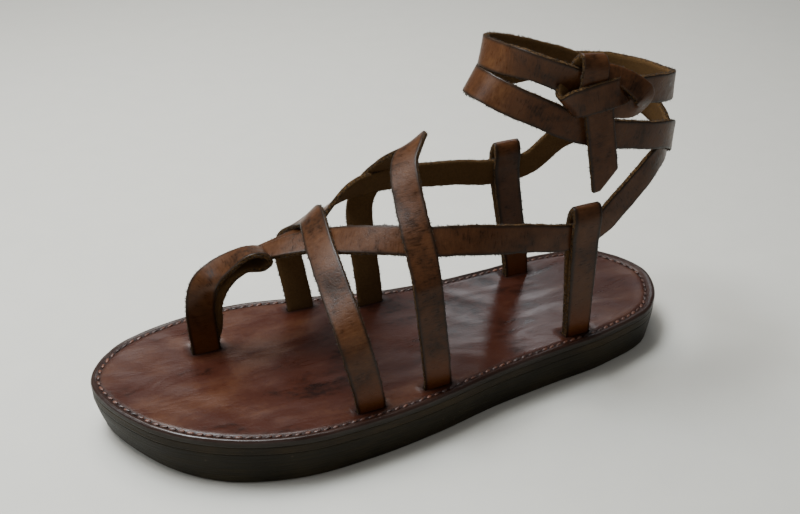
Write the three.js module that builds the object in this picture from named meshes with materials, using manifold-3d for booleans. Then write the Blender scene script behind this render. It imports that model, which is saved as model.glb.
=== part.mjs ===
// Left ankle strap sandal: outsole, midsole, slotted footbed and an upper of flat leather straps.
// Millimetres. +X runs to the toe, +Y to the outer (little toe) side, +Z up.
// The origin is on the floor, under the middle of the sole's length.
import * as THREE from "three";
import { mergeVertices } from "three/addons/utils/BufferGeometryUtils.js";
import Module from "manifold-3d";

const wasm = await Module();
wasm.setup();

// Driving sizes
const SOLE_LENGTH = 285;
const BALL_WIDTH = 105;
const OUTSOLE_THICKNESS = 15.5;
const MIDSOLE_THICKNESS = 4;
const FOOTBED_THICKNESS = 3.5;
const TOE_RISE = 3;
const FOOTBED_DISH = 1.6;
const EDGE_LEAN = 1.4;
const TOE_UNDERCUT = 1.6;
const OUTSOLE_EDGE_RADIUS = 1.5;
const FOOTBED_EDGE_RADIUS = 1.4;
const ANKLE_HEIGHT = 135;
const STRAP_WIDTH = 13;
const STRAP_THICKNESS = 2.4;
const SLOT_INSET = 8.6;
const HANGING_END_LENGTH = 36.5;
const CLEARANCE = 0.3;

const RIM_HEIGHT = OUTSOLE_THICKNESS + MIDSOLE_THICKNESS + FOOTBED_THICKNESS;

// How finely the solids are cut
const OUTLINE_STEPS = 64;
const ACROSS_STEPS = 6;
const STRAP_STEP = 6;
const FOLD_STEP = 2;
const PINS_PER_ROW = 5;

/** Rows of numbers read by the names of their columns. */
function table(columns, rows) {
  return rows.map((row) => Object.fromEntries(columns.map((name, i) => [name, row[i]])));
}

/** Smooth value of one column at a fractional row number. */
function smoothColumn(rows, name, place) {
  const last = rows.length - 1;
  const i = Math.min(Math.max(Math.floor(place), 0), last - 1);
  const t = place - i;
  const [a, b, c, d] = [i - 1, i, i + 1, i + 2].map((k) => rows[Math.min(Math.max(k, 0), last)][name]);
  const linear = c - a;
  const square = 2 * a - 5 * b + 4 * c - d;
  const cube = 3 * b - a - 3 * c + d;
  return b + 0.5 * t * (linear + t * (square + t * cube));
}

/** Every column of a table at a fractional row number. */
function smoothRow(rows, place) {
  return Object.fromEntries(Object.keys(rows[0]).map((name) => [name, smoothColumn(rows, name, place)]));
}

const smoothStep = (from, to, value) => THREE.MathUtils.smoothstep(value, from, to);

/** A closed geometry from loose triangles, its doubled points merged and flat triangles dropped. */
function closedGeometry(triangles) {
  const kept = triangles.filter(([a, b, c]) => {
    const ab = b.clone().sub(a);
    return ab.cross(c.clone().sub(a)).length() > 1e-7;
  });
  const flat = kept.flatMap((corners) => corners.flatMap((p) => [p.x, p.y, p.z]));
  const geometry = new THREE.BufferGeometry();
  geometry.setAttribute("position", new THREE.Float32BufferAttribute(flat, 3));
  return mergeVertices(geometry, 1e-4);
}

function toSolid(geometry) {
  const mesh = new wasm.Mesh({
    numProp: 3,
    vertProperties: new Float32Array(geometry.attributes.position.array),
    triVerts: new Uint32Array(geometry.index.array),
  });
  return new wasm.Manifold(mesh);
}

function toGeometry(solid) {
  const mesh = solid.getMesh();
  const geometry = new THREE.BufferGeometry();
  geometry.setAttribute("position", new THREE.BufferAttribute(mesh.vertProperties, 3));
  geometry.setIndex(outerFaces(mesh));
  geometry.computeVertexNormals();
  return geometry;
}

/** Corner numbers of the faces on outer skins: pockets of air sealed between touching straps fill up. */
function outerFaces({ vertProperties, triVerts, numVert }) {
  const parent = Array.from({ length: numVert }, (_, i) => i);
  const root = (i) => {
    let top = i;
    while (parent[top] !== top) {
      parent[top] = parent[parent[top]];
      top = parent[top];
    }
    return top;
  };
  const faces = [];
  for (let i = 0; i < triVerts.length; i += 3) {
    faces.push([triVerts[i], triVerts[i + 1], triVerts[i + 2]]);
  }
  faces.forEach(([a, b, c]) => {
    parent[root(a)] = root(b);
    parent[root(b)] = root(c);
  });
  const corner = (i) => new THREE.Vector3().fromArray(vertProperties, 3 * i);
  const volumes = new Map();
  faces.forEach(([a, b, c]) => {
    const volume = corner(a).dot(corner(b).cross(corner(c))) / 6;
    volumes.set(root(a), (volumes.get(root(a)) ?? 0) + volume);
  });
  return faces.filter(([a]) => volumes.get(root(a)) > 0).flat();
}

// Sole outline, from the back of the heel along the outer side to the toe and back along the inner side.
// along is a share of SOLE_LENGTH from the heel, across a share of BALL_WIDTH.
const OUTLINE = table(
  ["along", "across"],
  [
    [0.0, 0.0],
    [0.056, 0.268],
    [0.166, 0.363],
    [0.281, 0.391],
    [0.397, 0.422],
    [0.511, 0.474],
    [0.626, 0.502],
    [0.742, 0.49],
    [0.852, 0.386],
    [0.944, 0.18],
    [1.0, -0.17],
    [0.955, -0.376],
    [0.845, -0.488],
    [0.73, -0.509],
    [0.616, -0.452],
    [0.506, -0.375],
    [0.392, -0.333],
    [0.276, -0.328],
    [0.161, -0.338],
    [0.052, -0.27],
  ],
);
// The sole's top rises from TOE_FROM on, its underside springs up from SPRING_FROM on. Half way up, the
// outsole's edge has only BELLY of its lean left.
const TOE_FROM = 0.5;
const SPRING_FROM = 0.84;
const BELLY = 0.35;
const DISH_FULL_WIDTH = 0.7;
const ROUNDING = 0.3;

const alongToX = (along) => (along - 0.5) * SOLE_LENGTH;

const outlineCurve = new THREE.CatmullRomCurve3(
  OUTLINE.map(({ along, across }) => new THREE.Vector3(alongToX(along), across * BALL_WIDTH, 0)),
  true,
  "centripetal",
);

/**
 * Outline points, numbered so that point i and point -i lie across from each other. The outline runs
 * clockwise from above, so inwards is on the right of its path.
 */
function outlineRing(inset) {
  const ring = [];
  for (let i = 0; i < OUTLINE_STEPS; i += 1) {
    const point = outlineCurve.getPoint(i / OUTLINE_STEPS);
    const tangent = outlineCurve.getTangent(i / OUTLINE_STEPS);
    const inward = new THREE.Vector3(tangent.y, -tangent.x, 0);
    const share = (point.x + SOLE_LENGTH / 2) / SOLE_LENGTH;
    ring.push(point.addScaledVector(inward, inset(share)));
  }
  return ring;
}

const toeRise = (share) => TOE_RISE * smoothStep(TOE_FROM, 1, share);
const toeSpring = (share) => TOE_RISE * smoothStep(SPRING_FROM, 1, share);
const toeUndercut = (share) => TOE_UNDERCUT * smoothStep(SPRING_FROM, 1, share);

/** Depth of the footbed's dish at a point, which every layer under it follows. */
function dish(across, rowWidth) {
  const hollow = 4 * across * (1 - across);
  return FOOTBED_DISH * hollow * smoothStep(0, DISH_FULL_WIDTH, rowWidth / BALL_WIDTH);
}

/** A sole layer: side rings from the bottom up, closed by a bottom and a top that follow the foot. */
function soleLayer(sides, dishedBottom) {
  const rings = sides.map(({ height, inset }) =>
    outlineRing(inset).map((p) => {
      const share = (p.x + SOLE_LENGTH / 2) / SOLE_LENGTH;
      return new THREE.Vector3(p.x, p.y, height(share));
    }),
  );
  const triangles = [];
  for (let k = 0; k + 1 < rings.length; k += 1) {
    for (let i = 0; i < OUTLINE_STEPS; i += 1) {
      const j = (i + 1) % OUTLINE_STEPS;
      const [a, b, c, d] = [rings[k][i], rings[k][j], rings[k + 1][j], rings[k + 1][i]];
      triangles.push([a, c, b], [a, d, c]);
    }
  }
  triangles.push(...capTriangles(rings.at(-1), true, true));
  triangles.push(...capTriangles(rings[0], dishedBottom, false));
  return closedGeometry(triangles);
}

/** Strips across the sole that close a ring, dished or flat, seen from above or below. */
function capTriangles(ring, dished, facingUp) {
  const half = OUTLINE_STEPS / 2;
  const rows = [];
  for (let i = 0; i <= half; i += 1) {
    const outer = ring[i];
    const inner = ring[(OUTLINE_STEPS - i) % OUTLINE_STEPS];
    const width = outer.distanceTo(inner);
    const row = [];
    for (let j = 0; j <= ACROSS_STEPS; j += 1) {
      const across = j / ACROSS_STEPS;
      const point = outer.clone().lerp(inner, across);
      point.z -= dished ? dish(across, width) : 0;
      row.push(point);
    }
    rows.push(row);
  }
  const triangles = [];
  for (let i = 0; i < half; i += 1) {
    for (let j = 0; j < ACROSS_STEPS; j += 1) {
      const [a, b, c, d] = [rows[i][j], rows[i + 1][j], rows[i + 1][j + 1], rows[i][j + 1]];
      triangles.push(...(facingUp ? [[a, d, c], [a, c, b]] : [[a, c, d], [a, b, c]]));
    }
  }
  return triangles;
}

function outsoleGeometry() {
  const lean = (share) => EDGE_LEAN + toeUndercut(share);
  const top = (share) => OUTSOLE_THICKNESS - CLEARANCE + toeRise(share);
  return soleLayer(
    [
      { height: (share) => toeSpring(share), inset: (share) => lean(share) + OUTSOLE_EDGE_RADIUS },
      { height: (share) => toeSpring(share) + OUTSOLE_EDGE_RADIUS, inset: lean },
      { height: (share) => 0.5 * (top(share) + toeSpring(share)), inset: (share) => BELLY * lean(share) },
      { height: top, inset: () => 0 },
    ],
    false,
  );
}

function midsoleGeometry() {
  const bottom = OUTSOLE_THICKNESS;
  const top = OUTSOLE_THICKNESS + MIDSOLE_THICKNESS - CLEARANCE;
  return soleLayer(
    [
      { height: (share) => bottom + toeRise(share), inset: () => 0 },
      { height: (share) => top + toeRise(share), inset: () => 0 },
    ],
    true,
  );
}

function footbedGeometry() {
  const bottom = RIM_HEIGHT - FOOTBED_THICKNESS;
  return soleLayer(
    [
      { height: (share) => bottom + toeRise(share), inset: () => 0 },
      { height: (share) => RIM_HEIGHT - FOOTBED_EDGE_RADIUS + toeRise(share), inset: () => 0 },
      {
        height: (share) => RIM_HEIGHT - ROUNDING * FOOTBED_EDGE_RADIUS + toeRise(share),
        inset: () => ROUNDING * FOOTBED_EDGE_RADIUS,
      },
      { height: (share) => RIM_HEIGHT + toeRise(share), inset: () => FOOTBED_EDGE_RADIUS },
    ],
    true,
  );
}

// The last: rings round the foot, upright at the toe and turning level at the ankle.
// top and bottom are where a ring crosses the foot's upper and lower profile: along is a share of
// SOLE_LENGTH, rise a share of ANKLE_HEIGHT over the footbed's rim. outer, inner, shift and ridge are
// shares of BALL_WIDTH. roundTop and roundBottom are the powers of the ring's rounded halves.
const LAST = table(
  [
    ...["topAlong", "topRise", "bottomAlong", "bottomRise", "outer", "inner", "shift"],
    ...["roundTop", "roundBottom", "ridge"],
  ],
  [
    [0.909, 0.104, 0.916, 0.007, 0.114, 0.21, -0.248, 2.2, 2.6, -0.019],
    [0.87, 0.17, 0.877, 0.0, 0.286, 0.286, -0.133, 2.2, 2.8, -0.057],
    [0.786, 0.237, 0.8, 0.0, 0.362, 0.343, -0.057, 2.2, 3.0, -0.114],
    [0.702, 0.326, 0.709, 0.0, 0.41, 0.4, -0.019, 2.1, 3.0, -0.133],
    [0.625, 0.422, 0.632, 0.0, 0.41, 0.4, 0.0, 2.0, 3.0, -0.133],
    [0.561, 0.537, 0.554, 0.007, 0.371, 0.362, 0.0, 1.95, 3.0, -0.114],
    [0.507, 0.636, 0.47, 0.015, 0.343, 0.333, 0.0, 1.9, 2.8, -0.086],
    [0.46, 0.719, 0.365, 0.022, 0.314, 0.314, 0.0, 1.9, 2.6, -0.057],
    [0.425, 0.776, 0.239, 0.015, 0.305, 0.305, -0.01, 2.0, 2.5, -0.038],
    [0.402, 0.815, 0.119, 0.007, 0.305, 0.305, -0.019, 2.0, 2.3, -0.019],
    [0.387, 0.848, 0.035, 0.081, 0.305, 0.305, -0.019, 2.0, 2.1, 0.0],
    [0.376, 0.88, 0.015, 0.244, 0.295, 0.305, -0.019, 2.0, 2.0, 0.0],
    [0.366, 0.913, 0.026, 0.467, 0.286, 0.295, -0.019, 2.0, 2.0, 0.0],
    [0.358, 0.942, 0.032, 0.63, 0.286, 0.286, -0.019, 2.1, 2.1, 0.0],
    [0.35, 0.97, 0.042, 0.793, 0.286, 0.286, -0.019, 2.3, 2.3, 0.0],
    [0.344, 1.0, 0.056, 0.956, 0.295, 0.295, -0.019, 2.6, 2.6, 0.0],
  ],
);

/** Point on the last: station 0 at the toe to 1 at the ankle's top, turn in degrees from the outer side. */
function lastPoint(station, turn) {
  const row = smoothRow(LAST, station * (LAST.length - 1));
  const angle = THREE.MathUtils.degToRad(turn);
  const [c, s] = [Math.cos(angle), Math.sin(angle)];
  const power = 2 / (s >= 0 ? row.roundTop : row.roundBottom);
  const sideways = Math.sign(c) * Math.abs(c) ** power;
  const upwards = Math.sign(s) * Math.abs(s) ** power;
  const reach = c >= 0 ? row.outer : row.inner;
  const across = row.shift + reach * sideways + row.ridge * Math.max(0, upwards) ** 1.5;
  const height = (upwards + 1) / 2;
  const along = THREE.MathUtils.lerp(row.bottomAlong, row.topAlong, height);
  const rise = THREE.MathUtils.lerp(row.bottomRise, row.topRise, height);
  return new THREE.Vector3(alongToX(along), across * BALL_WIDTH, RIM_HEIGHT + rise * ANKLE_HEIGHT);
}

/** Outward direction of the last's skin. */
function lastNormal(station, turn) {
  const du = 0.004;
  const dv = 1.5;
  const alongStep = lastPoint(station + du, turn).sub(lastPoint(station - du, turn));
  const roundStep = lastPoint(station, turn + dv).sub(lastPoint(station, turn - dv));
  return alongStep.cross(roundStep).normalize();
}

/** A pin holds the strap's middle: where it is, which way its outer face looks, and its share of width. */
function pin(at, face, width = 1) {
  return { at, face, width };
}

/**
 * A pin on the last; lift counts strap thicknesses between the skin and the strap's inner face. A taut
 * strap that doesn't follow the skin takes its face from a place tilt degrees further round.
 */
function lastPin({ station, turn, lift, width = 1, tilt = 0 }) {
  const face = lastNormal(station, turn + tilt);
  const off = lastNormal(station, turn);
  const at = lastPoint(station, turn).addScaledVector(off, (lift + 0.5) * STRAP_THICKNESS);
  return pin(at, face, width);
}

/** Pins along a smooth run on the last. */
function lastRun(rows) {
  const pins = [];
  const count = (rows.length - 1) * PINS_PER_ROW;
  for (let i = 0; i <= count; i += 1) {
    pins.push(lastPin(smoothRow(rows, i / PINS_PER_ROW)));
  }
  return pins;
}

/** Half width of the sole at a share of its length, on the outer (1) or inner (-1) side. */
function soleEdge(along, side) {
  const x = alongToX(along);
  const half = outlineRing(() => 0).slice(...(side > 0 ? [0, OUTLINE_STEPS / 2 + 1] : [OUTLINE_STEPS / 2]));
  const next = half.findIndex((p, i) => i > 0 && (p.x - x) * (half[i - 1].x - x) <= 0);
  const [a, b] = [half[next - 1], half[next]];
  return THREE.MathUtils.lerp(a.y, b.y, (x - a.x) / (b.x - a.x));
}

/** Two pins that take a strap down through its slot in the footbed, the lower one first. */
function slotPins(along, side, layer = 0) {
  const out = new THREE.Vector3(0, side, 0);
  const y = soleEdge(along, side) - side * (SLOT_INSET - layer * STRAP_THICKNESS);
  const rise = toeRise(along);
  const bottom = RIM_HEIGHT - FOOTBED_THICKNESS + CLEARANCE + rise;
  const top = RIM_HEIGHT + STRAP_THICKNESS + rise;
  return [bottom, top].map((z) => pin(new THREE.Vector3(alongToX(along), y, z), out));
}

/** Flat strap through its pins, as rings of four corners; slant skews the cut at its far end. */
function strapGeometry(pins, { step = STRAP_STEP, clearance = 0, slant = 0 } = {}) {
  const curve = new THREE.CatmullRomCurve3(pins.map(({ at }) => at), false, "centripetal");
  const length = curve.getLength();
  const steps = Math.max(2, Math.ceil(length / step));
  const rings = [];
  for (let i = 0; i <= steps; i += 1) {
    const t = curve.getUtoTmapping(i / steps);
    const place = t * (pins.length - 1);
    const k = Math.min(Math.floor(place), pins.length - 2);
    const mix = place - k;
    const centre = curve.getPoint(t);
    const tangent = curve.getTangent(t);
    const face = pins[k].face.clone().lerp(pins[k + 1].face, mix);
    face.addScaledVector(tangent, -face.dot(tangent)).normalize();
    const side = tangent.clone().cross(face);
    const width = THREE.MathUtils.lerp(pins[k].width, pins[k + 1].width, mix);
    const halfWidth = (STRAP_WIDTH * width) / 2 + clearance;
    const halfThickness = STRAP_THICKNESS / 2 + clearance;
    const skew = i === steps ? slant * halfWidth : 0;
    rings.push(
      [[1, 1], [-1, 1], [-1, -1], [1, -1]].map(([w, h]) =>
        centre
          .clone()
          .addScaledVector(side, w * halfWidth)
          .addScaledVector(face, h * halfThickness)
          .addScaledVector(tangent, w * skew),
      ),
    );
  }
  return closedGeometry(tubeTriangles(rings));
}

/** Triangles of a tube of equal rings, with its two ends closed by quads. */
function tubeTriangles(rings) {
  const count = rings[0].length;
  const triangles = [];
  for (let i = 0; i + 1 < rings.length; i += 1) {
    for (let j = 0; j < count; j += 1) {
      const k = (j + 1) % count;
      const [a, b, c, d] = [rings[i][j], rings[i][k], rings[i + 1][k], rings[i + 1][j]];
      triangles.push([a, c, b], [a, d, c]);
    }
  }
  const [start, end] = [rings[0], rings.at(-1)];
  triangles.push([start[0], start[1], start[2]], [start[0], start[2], start[3]]);
  triangles.push([end[0], end[2], end[1]], [end[0], end[3], end[2]]);
  return triangles;
}

const RUN_COLUMNS = ["station", "turn", "lift"];

// Vamp and instep straps, from the outer side over the foot to the inner side. They lie on the tie
// strap where they cross it.
const VAMP_STRAP = {
  outerSlot: 0.621,
  innerSlot: 0.632,
  run: table(RUN_COLUMNS, [
    [0.254, 14, 0.5],
    [0.253, 30, 0.15],
    [0.253, 45, 0.1],
    [0.256, 60, 0.6],
    [0.262, 76, 1.0],
    [0.27, 91, 1.1],
    [0.274, 105, 0.6],
    [0.269, 120, -0.3],
    [0.261, 137, -0.4],
    [0.254, 153, 0.2],
    [0.25, 166, 0.5],
  ]),
};
const INSTEP_STRAP = {
  outerSlot: 0.503,
  innerSlot: 0.512,
  run: table(RUN_COLUMNS, [
    [0.372, 13, 1.0],
    [0.378, 27, 0.95],
    [0.385, 41, 0.95],
    [0.394, 55, 0.6],
    [0.405, 67, 0.7],
    [0.42, 79, 0.5],
    [0.443, 92, -0.4],
    [0.459, 106, -1.2],
    [0.449, 120, -1.1],
    [0.423, 135, -0.2],
    [0.397, 148, 0.8],
    [0.379, 158, 0.95],
    [0.37, 169, 1.0],
  ]),
};

function overStrapPins(strap) {
  const up = slotPins(strap.outerSlot, 1);
  const down = slotPins(strap.innerSlot, -1).reverse();
  return [...up, ...lastRun(strap.run), ...down];
}

// Tie strap. Both halves start in the toe loop and run back along the foot, through a side loop, round
// the heel and round the ankle. The outer half ends in front of the knot, the inner half behind it.
const TIE_COLUMNS = ["station", "turn", "lift", "width", "tilt"];
const OUTER_TIE = table(TIE_COLUMNS, [
  [0.2, 97, 1.2, 0.7, 0],
  [0.222, 92, 0.9, 0.9, 0],
  [0.253, 85, 0.1, 1, 0],
  [0.28, 73, 0.0, 1, 0],
  [0.315, 58, 0.0, 1, 0],
  [0.347, 47, 0.0, 1, 0],
  [0.393, 34, 0.0, 1, 0],
  [0.44, 24, 0.2, 1, 0],
  [0.497, 13, 0.5, 1, 0],
  [0.555, 5, 0.9, 1, 0],
  [0.595, 1, 1.0, 1, 0],
  [0.63, -0.5, 1.0, 1, 0],
  [0.665, -2, 0.9, 1, 0],
  [0.704, -5, 0.7, 1, 2],
  [0.75, -13, 0.6, 1, 8],
  [0.785, -23, 0.8, 1, 14],
  [0.825, -37, 0.7, 1, 16],
  [0.862, -59, 0.1, 1, 5],
  [0.885, -90, 0.0, 1, 0],
  [0.9, -122, 0.0, 1, 0],
  [0.91, -155, 0.0, 1, 0],
  [0.915, -185, 0.0, 1, 0],
  [0.92, -215, 0.0, 1, 0],
  [0.925, -240, 0.0, 1, 0],
  [0.937, -262, 0.0, 1, 0],
  [0.958, -278, 0.0, 1, 0],
  [0.978, -292, 0.0, 1, 0],
  [0.983, -304, 0.0, 1, 0],
  [0.973, -318, 0.1, 1, 0],
  [0.958, -331, 0.2, 1, 0],
  [0.94, -343, 0.3, 1, 0],
]);
const INNER_TIE = table(TIE_COLUMNS, [
  [0.2, 101, 1.1, 0.7, 0],
  [0.222, 104, -0.2, 0.9, 0],
  [0.253, 109, -1.4, 1, 0],
  [0.28, 116, -1.6, 1, 0],
  [0.315, 125, -1.3, 1, 0],
  [0.347, 134, -0.8, 1, 0],
  [0.393, 146, -0.3, 1, 0],
  [0.44, 156, 0.1, 1, 0],
  [0.497, 167, 0.5, 1, 0],
  [0.555, 175, 0.9, 1, 0],
  [0.6, 180, 1.0, 1, 0],
  [0.65, 184, 0.9, 1, 0],
  [0.705, 189, 0.5, 1, 0],
  [0.75, 196, 0.1, 1, 0],
  [0.785, 209, 0.0, 1, 0],
  [0.81, 228, 0.0, 1, 0],
  [0.832, 252, 0.1, 1, 0],
  [0.848, 275, 0.5, 1, 0],
  [0.862, 298, 0.95, 1, 0],
  [0.87, 318, 0.95, 1, 0],
  [0.863, 335, 0.5, 1, 0],
  [0.852, 350, 0.1, 1, 0],
  [0.82, 375, 0.0, 1, 0],
  [0.805, 389, 0.0, 1, 0],
  [0.796, 403, 0.0, 1, 0],
  [0.78, 418, 0.0, 1, 0],
  [0.763, 436, 0.0, 1, 0],
  [0.752, 462, 0.0, 1, 0],
  [0.785, 490, 0.0, 1, 0],
  [0.84, 518, 0.3, 1, 0],
  [0.89, 545, 0.95, 1, 0],
  [0.92, 575, 0.8, 1, 0],
  [0.932, 605, 0.3, 1, 0],
  [0.94, 635, 0.0, 1, 0],
  [0.947, 665, 0.0, 1, 0],
  [0.951, 693, 0.1, 1, 0],
  [0.948, 710, 0.2, 1, 0],
  [0.935, 726, 0.4, 1, 0],
]);

// Side loops: an inverted U out of one slot, round the tie strap. crown is where the tie strap passes.
// The inner leg stands half a strap thickness off the last, the outer leg clears the tie strap too.
const SIDE_LOOP = {
  along: 0.226,
  crownStation: 0.612,
  outerTurn: 0,
  innerTurn: 180,
  innerLegLift: 0.5,
  outerLegLift: 2.45,
  headroom: 0.38,
  bendFrom: 0.8,
};

function sideLoopPins(side) {
  const { along, crownStation, outerTurn, innerTurn } = SIDE_LOOP;
  const { innerLegLift, outerLegLift, headroom, bendFrom } = SIDE_LOOP;
  const crown = lastPoint(crownStation, side > 0 ? outerTurn : innerTurn);
  const out = new THREE.Vector3(0, side, 0);
  const up = new THREE.Vector3(0, 0, 1);
  const inner = crown.clone().addScaledVector(out, innerLegLift * STRAP_THICKNESS);
  const outer = crown.clone().addScaledVector(out, outerLegLift * STRAP_THICKNESS);
  const reach = (headroom + 0.5) * STRAP_WIDTH;
  const apex = inner.clone().lerp(outer, 0.5).addScaledVector(up, reach + STRAP_THICKNESS);
  return [
    ...slotPins(along, side, 0.5),
    pin(outer.clone(), out),
    pin(outer.clone().addScaledVector(up, bendFrom * reach), out),
    pin(apex, up),
    pin(inner.clone().addScaledVector(up, bendFrom * reach), out.clone().negate()),
    pin(inner.clone(), out.clone().negate()),
    ...slotPins(along, side, -0.5).reverse().map(({ at }) => pin(at, out.clone().negate())),
  ];
}

// Toe strap: up out of its slot edge-on between the toes, turning to lie on the foot, over the tie
// strap, and back under it to the same slot. along is a share of SOLE_LENGTH, across of BALL_WIDTH,
// rise of ANKLE_HEIGHT over the footbed. The last columns are the way the outer face looks.
const TOE_STRAP = table(
  ["along", "across", "rise", "faceX", "faceY", "faceZ"],
  [
    [0.815, -0.225, 0.1, 0, 1, 0],
    [0.815, -0.222, 0.19, 0.1, 1, 0.1],
    [0.806, -0.217, 0.264, 0.35, 0.75, 0.55],
    [0.787, -0.21, 0.312, 0.4, 0.35, 0.85],
    [0.762, -0.198, 0.348, 0.4, 0.05, 0.9],
    [0.736, -0.188, 0.374, 0.2, -0.2, 0.95],
    [0.716, -0.183, 0.372, -0.4, -0.2, 0.9],
    [0.704, -0.184, 0.35, -1, 0, 0],
    [0.714, -0.188, 0.328, -0.3, 0, -1],
    [0.74, -0.2, 0.33, 0, -0.1, -1],
    [0.768, -0.215, 0.302, -0.25, -0.4, -0.85],
    [0.79, -0.232, 0.245, -0.3, -0.8, -0.4],
    [0.8, -0.245, 0.17, 0, -1, 0],
    [0.803, -0.248, 0.09, 0, -1, 0],
  ],
);
const TOE_SLOT = { along: 0.813, outerAcross: -0.225, innerAcross: -0.248 };

function toeSlotPins(across, facing) {
  const rise = toeRise(TOE_SLOT.along);
  const bottom = RIM_HEIGHT - FOOTBED_THICKNESS - FOOTBED_DISH + 2 * CLEARANCE + rise;
  const top = RIM_HEIGHT + rise;
  const face = new THREE.Vector3(0, facing, 0);
  const x = alongToX(TOE_SLOT.along);
  return [bottom, top].map((z) => pin(new THREE.Vector3(x, across * BALL_WIDTH, z), face));
}

function toeStrapPins() {
  const loop = TOE_STRAP.map(({ along, across, rise, faceX, faceY, faceZ }) =>
    pin(
      new THREE.Vector3(alongToX(along), across * BALL_WIDTH, RIM_HEIGHT + rise * ANKLE_HEIGHT),
      new THREE.Vector3(faceX, faceY, faceZ).normalize(),
    ),
  );
  return [
    ...toeSlotPins(TOE_SLOT.outerAcross, 1),
    ...loop,
    ...toeSlotPins(TOE_SLOT.innerAcross, -1).reverse(),
  ];
}

// Knot, in its own directions: back towards the heel, up and out from the skin, as shares of
// STRAP_WIDTH. Then come the way the strap's outer face looks, and its share of width.
const KNOT_AT = { station: 0.91, turn: 18 };
const KNOT_COLUMNS = ["back", "up", "out", "faceBack", "faceUp", "faceOut", "width"];
const KNOT_FOLD = table(KNOT_COLUMNS, [
  [0.0, 0.35, 0.42, 0, 0, 1, 0.88],
  [0.0, 0.9, 0.47, 0.04, 0.1, 1, 0.88],
  [-0.02, 1.3, 0.44, 0.1, 0.5, 0.85, 0.88],
  [-0.07, 1.5, 0.27, 0.15, 1, 0, 0.88],
  [-0.18, 1.26, 0.1, 0, 0.3, -1, 0.88],
  [-0.32, 0.84, 0.04, 0, 0, -1, 0.88],
  [-0.47, 0.45, 0.04, 0, 0, -1, 0.88],
]);
const KNOT_BAND = table(KNOT_COLUMNS, [
  [-0.5, 0.55, 0.06, 0.3, 0, -1, 0.9],
  [-0.68, 0.22, 0.1, -0.4, -0.4, -0.9, 0.95],
  [-0.83, -0.02, 0.31, -0.74, -0.67, 0, 1],
  [-0.52, 0.03, 0.52, -0.3, -0.2, 1, 1],
  [0.15, 0.22, 0.61, 0, 0, 1, 1],
  [0.76, 0.32, 0.54, 0.3, 0.15, 1, 0.95],
  [1.06, 0.24, 0.31, 0.84, 0.55, 0, 0.8],
  [0.8, -0.02, 0.12, 0.4, 0.2, -0.9, 0.85],
  [0.55, -0.3, 0.08, 0, 0, -1, 0.85],
]);
const KNOT_BIGHT = table(KNOT_COLUMNS, [
  [0.23, 0.95, 0.2, 0, 0.5, 0.85, 0.62],
  [0.84, 0.8, 0.3, 0.1, 0.5, 0.85, 0.6],
  [1.42, 0.48, 0.38, 0.25, 0.3, 0.9, 0.68],
  [1.84, 0.06, 0.4, 0.4, 0, 0.9, 0.8],
  [1.7, -0.32, 0.34, 0.45, -0.3, 0.85, 0.85],
  [1.2, -0.36, 0.24, 0.1, -0.2, 1, 0.8],
  [0.62, -0.22, 0.16, 0, 0, 1, 0.8],
]);
const HANGING_END = { station: 0.9, turn: 13.2, out: 0.42, lean: 0.21, twist: 0.12, cutSlant: 0.85 };

function knotFrame() {
  const origin = lastPoint(KNOT_AT.station, KNOT_AT.turn);
  const out = lastNormal(KNOT_AT.station, KNOT_AT.turn);
  const up = new THREE.Vector3(0, 0, 1).addScaledVector(out, -out.z).normalize();
  const back = up.clone().cross(out).normalize();
  return { origin, out, up, back };
}

function knotPins(rows) {
  const { origin, out, up, back } = knotFrame();
  return rows.map((row) => {
    const at = origin
      .clone()
      .addScaledVector(back, row.back * STRAP_WIDTH)
      .addScaledVector(up, row.up * STRAP_WIDTH)
      .addScaledVector(out, row.out * STRAP_WIDTH);
    const face = back
      .clone()
      .multiplyScalar(row.faceBack)
      .addScaledVector(up, row.faceUp)
      .addScaledVector(out, row.faceOut);
    return pin(at, face.normalize(), row.width);
  });
}

/** The tie strap's free end hangs down from under the knot and is cut off at a slant. */
function hangingEndSolid() {
  const { out, back } = knotFrame();
  const { station, turn, lean, twist, cutSlant } = HANGING_END;
  const top = lastPoint(station, turn).addScaledVector(out, HANGING_END.out * STRAP_WIDTH);
  const down = new THREE.Vector3(0, 0, -1).addScaledVector(back, lean).normalize();
  const face = out.clone().addScaledVector(back, twist);
  face.addScaledVector(down, -face.dot(down)).normalize();
  const pins = [0, 0.5, 1].map((share) =>
    pin(top.clone().addScaledVector(down, share * HANGING_END_LENGTH), face),
  );
  return toSolid(strapGeometry(pins, { slant: cutSlant }));
}

function uniteAll(solids) {
  return solids.reduce((joined, solid) => joined.add(solid));
}

function strapSolid(pins, step = STRAP_STEP) {
  return toSolid(strapGeometry(pins, { step }));
}

function upperGeometry() {
  const solids = [
    strapSolid(toeStrapPins(), FOLD_STEP),
    strapSolid(overStrapPins(VAMP_STRAP)),
    strapSolid(overStrapPins(INSTEP_STRAP)),
    strapSolid(sideLoopPins(1), FOLD_STEP),
    strapSolid(sideLoopPins(-1), FOLD_STEP),
    strapSolid(lastRun(OUTER_TIE)),
    strapSolid(lastRun(INNER_TIE)),
    strapSolid(knotPins(KNOT_FOLD), FOLD_STEP),
    strapSolid(knotPins(KNOT_BAND), FOLD_STEP),
    strapSolid(knotPins(KNOT_BIGHT), FOLD_STEP),
    hangingEndSolid(),
  ];
  return toGeometry(uniteAll(solids));
}

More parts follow.
